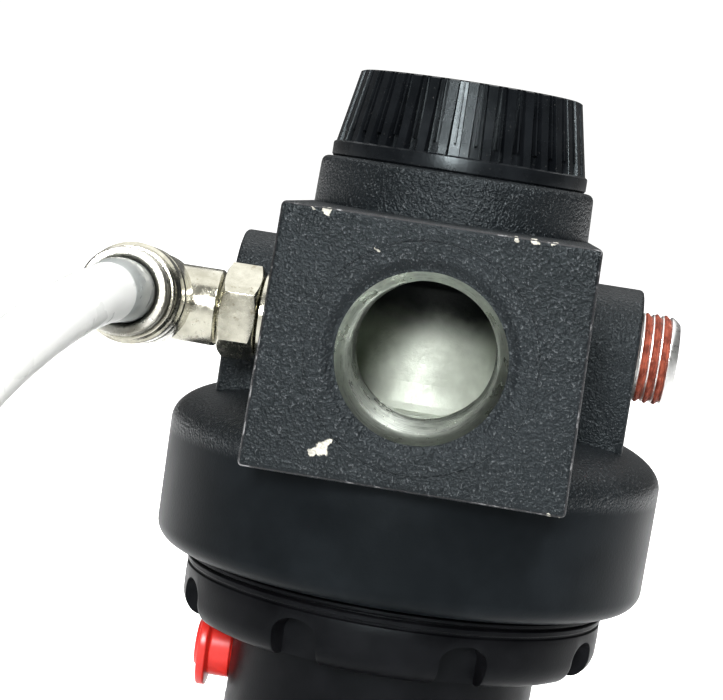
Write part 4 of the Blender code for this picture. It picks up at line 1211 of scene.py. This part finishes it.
def make_pipe_plug():
    """Threaded plug in the right boss, with sealant on the turns that show."""
    centre_z = PORT_Z + BOSS_Z
    thread = outside_thread(PLUG_R, 14.9, 1.0, PIPE_PITCH, 0.75)
    shaft = [(0, 16.1), (5.7, 16.1), (6.2, 15.6), (6.4, 15.3), *thread, (6.0, 0.4), (5.6, 0), (0, 0)]
    plug = lathe("pipe_plug", shaft, ZINC, MEDIUM, at=(20.5, 0, centre_z), axis=(1, 0, 0))
    own(key_socket(plug, 29, 1), "gauge_port_plug", "casing")
    ridges = []
    for i in range(SEALANT_TURNS):
        base = 4.25 - i * PIPE_PITCH
        ridges += [(6.25, base), (6.45, base - 0.25), (6.83, base - 0.6), (6.83, base - 0.8)]
        ridges.append((6.45, base - 1.2))
    ridges += [(6.25, 0.02), (5.85, 0.0), (5.85, 4.25)]
    foot = (BOSS_END + 0.35, 0, centre_z)
    band = lathe("sealant_band", ridges, SEALANT, MEDIUM, True, foot, (1, 0, 0), uneven)
    own(band, "plug_sealant", "casing")


def make_flush_plug():
    """Plug that sits flush in the left boss."""
    flush = [(0, 9), (6.2, 9), (6.8, 8.4), (6.8, 0.4), (6.4, 0), (0, 0)]
    at = (-21.0, 0, PORT_Z + BOSS_Z)
    flush = lathe("flush_plug", flush, ZINC, MEDIUM, at=at, axis=(-1, 0, 0))
    own(key_socket(flush, -25, -1), "blind_port_plug", "casing")


# Elbow fitting


def outlet_place(distance=0.0):
    """Point and direction of the elbow's tilted outlet."""
    ahead = Vector((0, -cos(ELBOW_TILT), -sin(ELBOW_TILT)))
    return Vector((ELBOW_X, AUX_Y, PORT_Z + AUX_Z)) + ahead * distance, ahead


def outlet_lathe(name, profile, finish, segments=MEDIUM, closed=True):
    at, ahead = outlet_place()
    return lathe(name, profile, finish, segments, closed, at, ahead)


def nipple_nut():
    """Hexagon with both ends chamfered."""
    length = HEX_START - HEX_END
    stand = Matrix.Translation((HEX_END * MM, AUX_Y * MM, (PORT_Z + AUX_Z) * MM))
    stand = stand @ Matrix.Rotation(radians(5), 4, "X") @ Matrix.Rotation(radians(90), 4, "Y")
    nut = prism("nipple_hex", hexagon(12.0), 0, length, stand, NICKEL)
    lens = [(0, length), (5.9, length), (7.2, length - 0.75), (7.2, 0.75), (5.9, 0), (0, 0)]
    limit = lathe("chamfers", lens, NICKEL, MEDIUM, at=(HEX_END, AUX_Y, PORT_Z + AUX_Z), axis=(1, 0, 0))
    combine(nut, [limit], "INTERSECT")
    return bake(bevelled(nut, 0.12, 2, radians(25)))


def make_nipple():
    """Threaded shank, hexagon and grooved spigot, bored through."""
    centre_z = PORT_Z + AUX_Z
    nut = nipple_nut()
    thread = outside_thread(4.85, -12.6, -21.4, 0.94, 0.45)
    shaft = [(0, -12.0), (4.3, -12.0), (4.8, -12.5), *thread, (4.9, -21.5), (5.6, -22.45), (5.9, -22.6)]
    shaft += [(5.9, -24.0), (5.6, -24.2), (4.0, -24.6), (4.0, -29.0), (3.4, -29.2), (3.4, -33.0)]
    shaft += [(2.7, -33.0), (2.7, -34.8), (3.4, -34.8), (3.4, -36.4), (3.2, -36.6), (0, -36.6)]
    shaft = lathe("nipple_shaft", shaft, NICKEL, MEDIUM, at=(0, AUX_Y, centre_z), axis=(1, 0, 0))
    bore = rod("nipple_bore", 1.8, (-38, AUX_Y, centre_z), (-11, AUX_Y, centre_z), NICKEL, SMALL)
    own(cut(union(nut, shaft), bore), "elbow_nipple", "casing")
    seal = torus("swivel_seal", 3.1, 0.35, -33.9, RUBBER, (0, AUX_Y, centre_z), (1, 0, 0), SMALL)
    own(seal, "elbow_o_ring", "casing")


def elbow_barrel():
    """Turned outlet barrel from its collar back to its domed end."""
    front = [(0, 21.9), (6.3, 21.9), (6.45, 21.6), (6.45, 19.5), (6.9, 19.1), (6.9, 15.4), (6.6, 15.1)]
    back = [(6.6, 14.4), (6.9, 14.1), (6.9, 10.6), (6.4, 10.0), (6.4, 9.0), (6.6, 8.6), (6.6, -2.4)]
    dome = arc((2.6, -2.4), (4.0, 4.2), 0, -90, 10)[1:]
    return [*rounded(front + back, 0.25), *dome, (0, -6.6)]


def make_elbow():
    at = outlet_place()[0]
    body = outlet_lathe("elbow_housing", elbow_barrel(), NICKEL, MEDIUM, False)
    neck = [(0, 10.2), (5.1, 10.2), (5.5, 9.8), (5.5, 1.0), (5.2, 0), (0, 0)]
    arm = lathe("elbow_neck", rounded(neck, 0.3), NICKEL, MEDIUM, at=(ELBOW_X, at.y, at.z), axis=(1, 0, 0))
    union(body, arm)
    way = [(0, 23), (5.9, 23), (5.9, 11.0), (4.35, 11.0), (4.35, 5.5), (3.0, 5.5), (3.0, -1), (0, -1)]
    voids = [
        outlet_lathe("tube_way", way, NICKEL, MEDIUM, False),
        rod("spigot_way", 3.7, (-37.4, AUX_Y, at.z), (HEX_END - 0.3 + 1, AUX_Y, at.z), NICKEL, SMALL),
        rod("cross_way", 2.2, (ELBOW_X - 1, AUX_Y, at.z), (-36, AUX_Y, at.z), NICKEL, SMALL),
    ]
    cut(body, *voids)
    own(body, "elbow_body", "elbow")


def make_tube_fittings():
    """Seal, toothed grip and release ring inside the elbow's mouth."""
    place, ahead = outlet_place()
    seal = torus("tube_o_ring", 4.95, 0.5, 12.0, RUBBER, place, ahead, SMALL)
    own(seal, "tube_seal", "elbow")
    grip = [(5.6, 15.2), (5.6, 12.9), (4.35, 12.9), (4.6, 15.2)]
    grip = outlet_lathe("grip_ring", rounded(grip, 0.1, 2, True), STEEL)
    own(grip, "collet", "elbow")
    push = [(4.75, 26.1), (4.95, RING_FACE), (5.75, RING_FACE), (5.95, 25.95), (5.95, 25.2), (5.8, 25.05)]
    push += [(5.8, 24.1), (5.95, 23.95), (5.95, 23.3), (5.8, 23.2), (5.5, 23.1), (5.5, 16.6)]
    push += [(4.4, 16.6), (4.4, 25.2)]
    push = outlet_lathe("push_ring", rounded(push, 0.2, 3, True), RING_NICKEL)
    own(push, "release_ring", "release")


make_camera()
make_tube()
make_stage()
make_body()
make_valve_cap()
make_valve()
make_diaphragm()
make_plates()
make_bonnet()
make_vent_plug()
make_range_spring()
make_spring_button()
make_screw()
make_knob()
make_pipe_plug()
make_flush_plug()
make_nipple()
make_elbow()
make_tube_fittings()
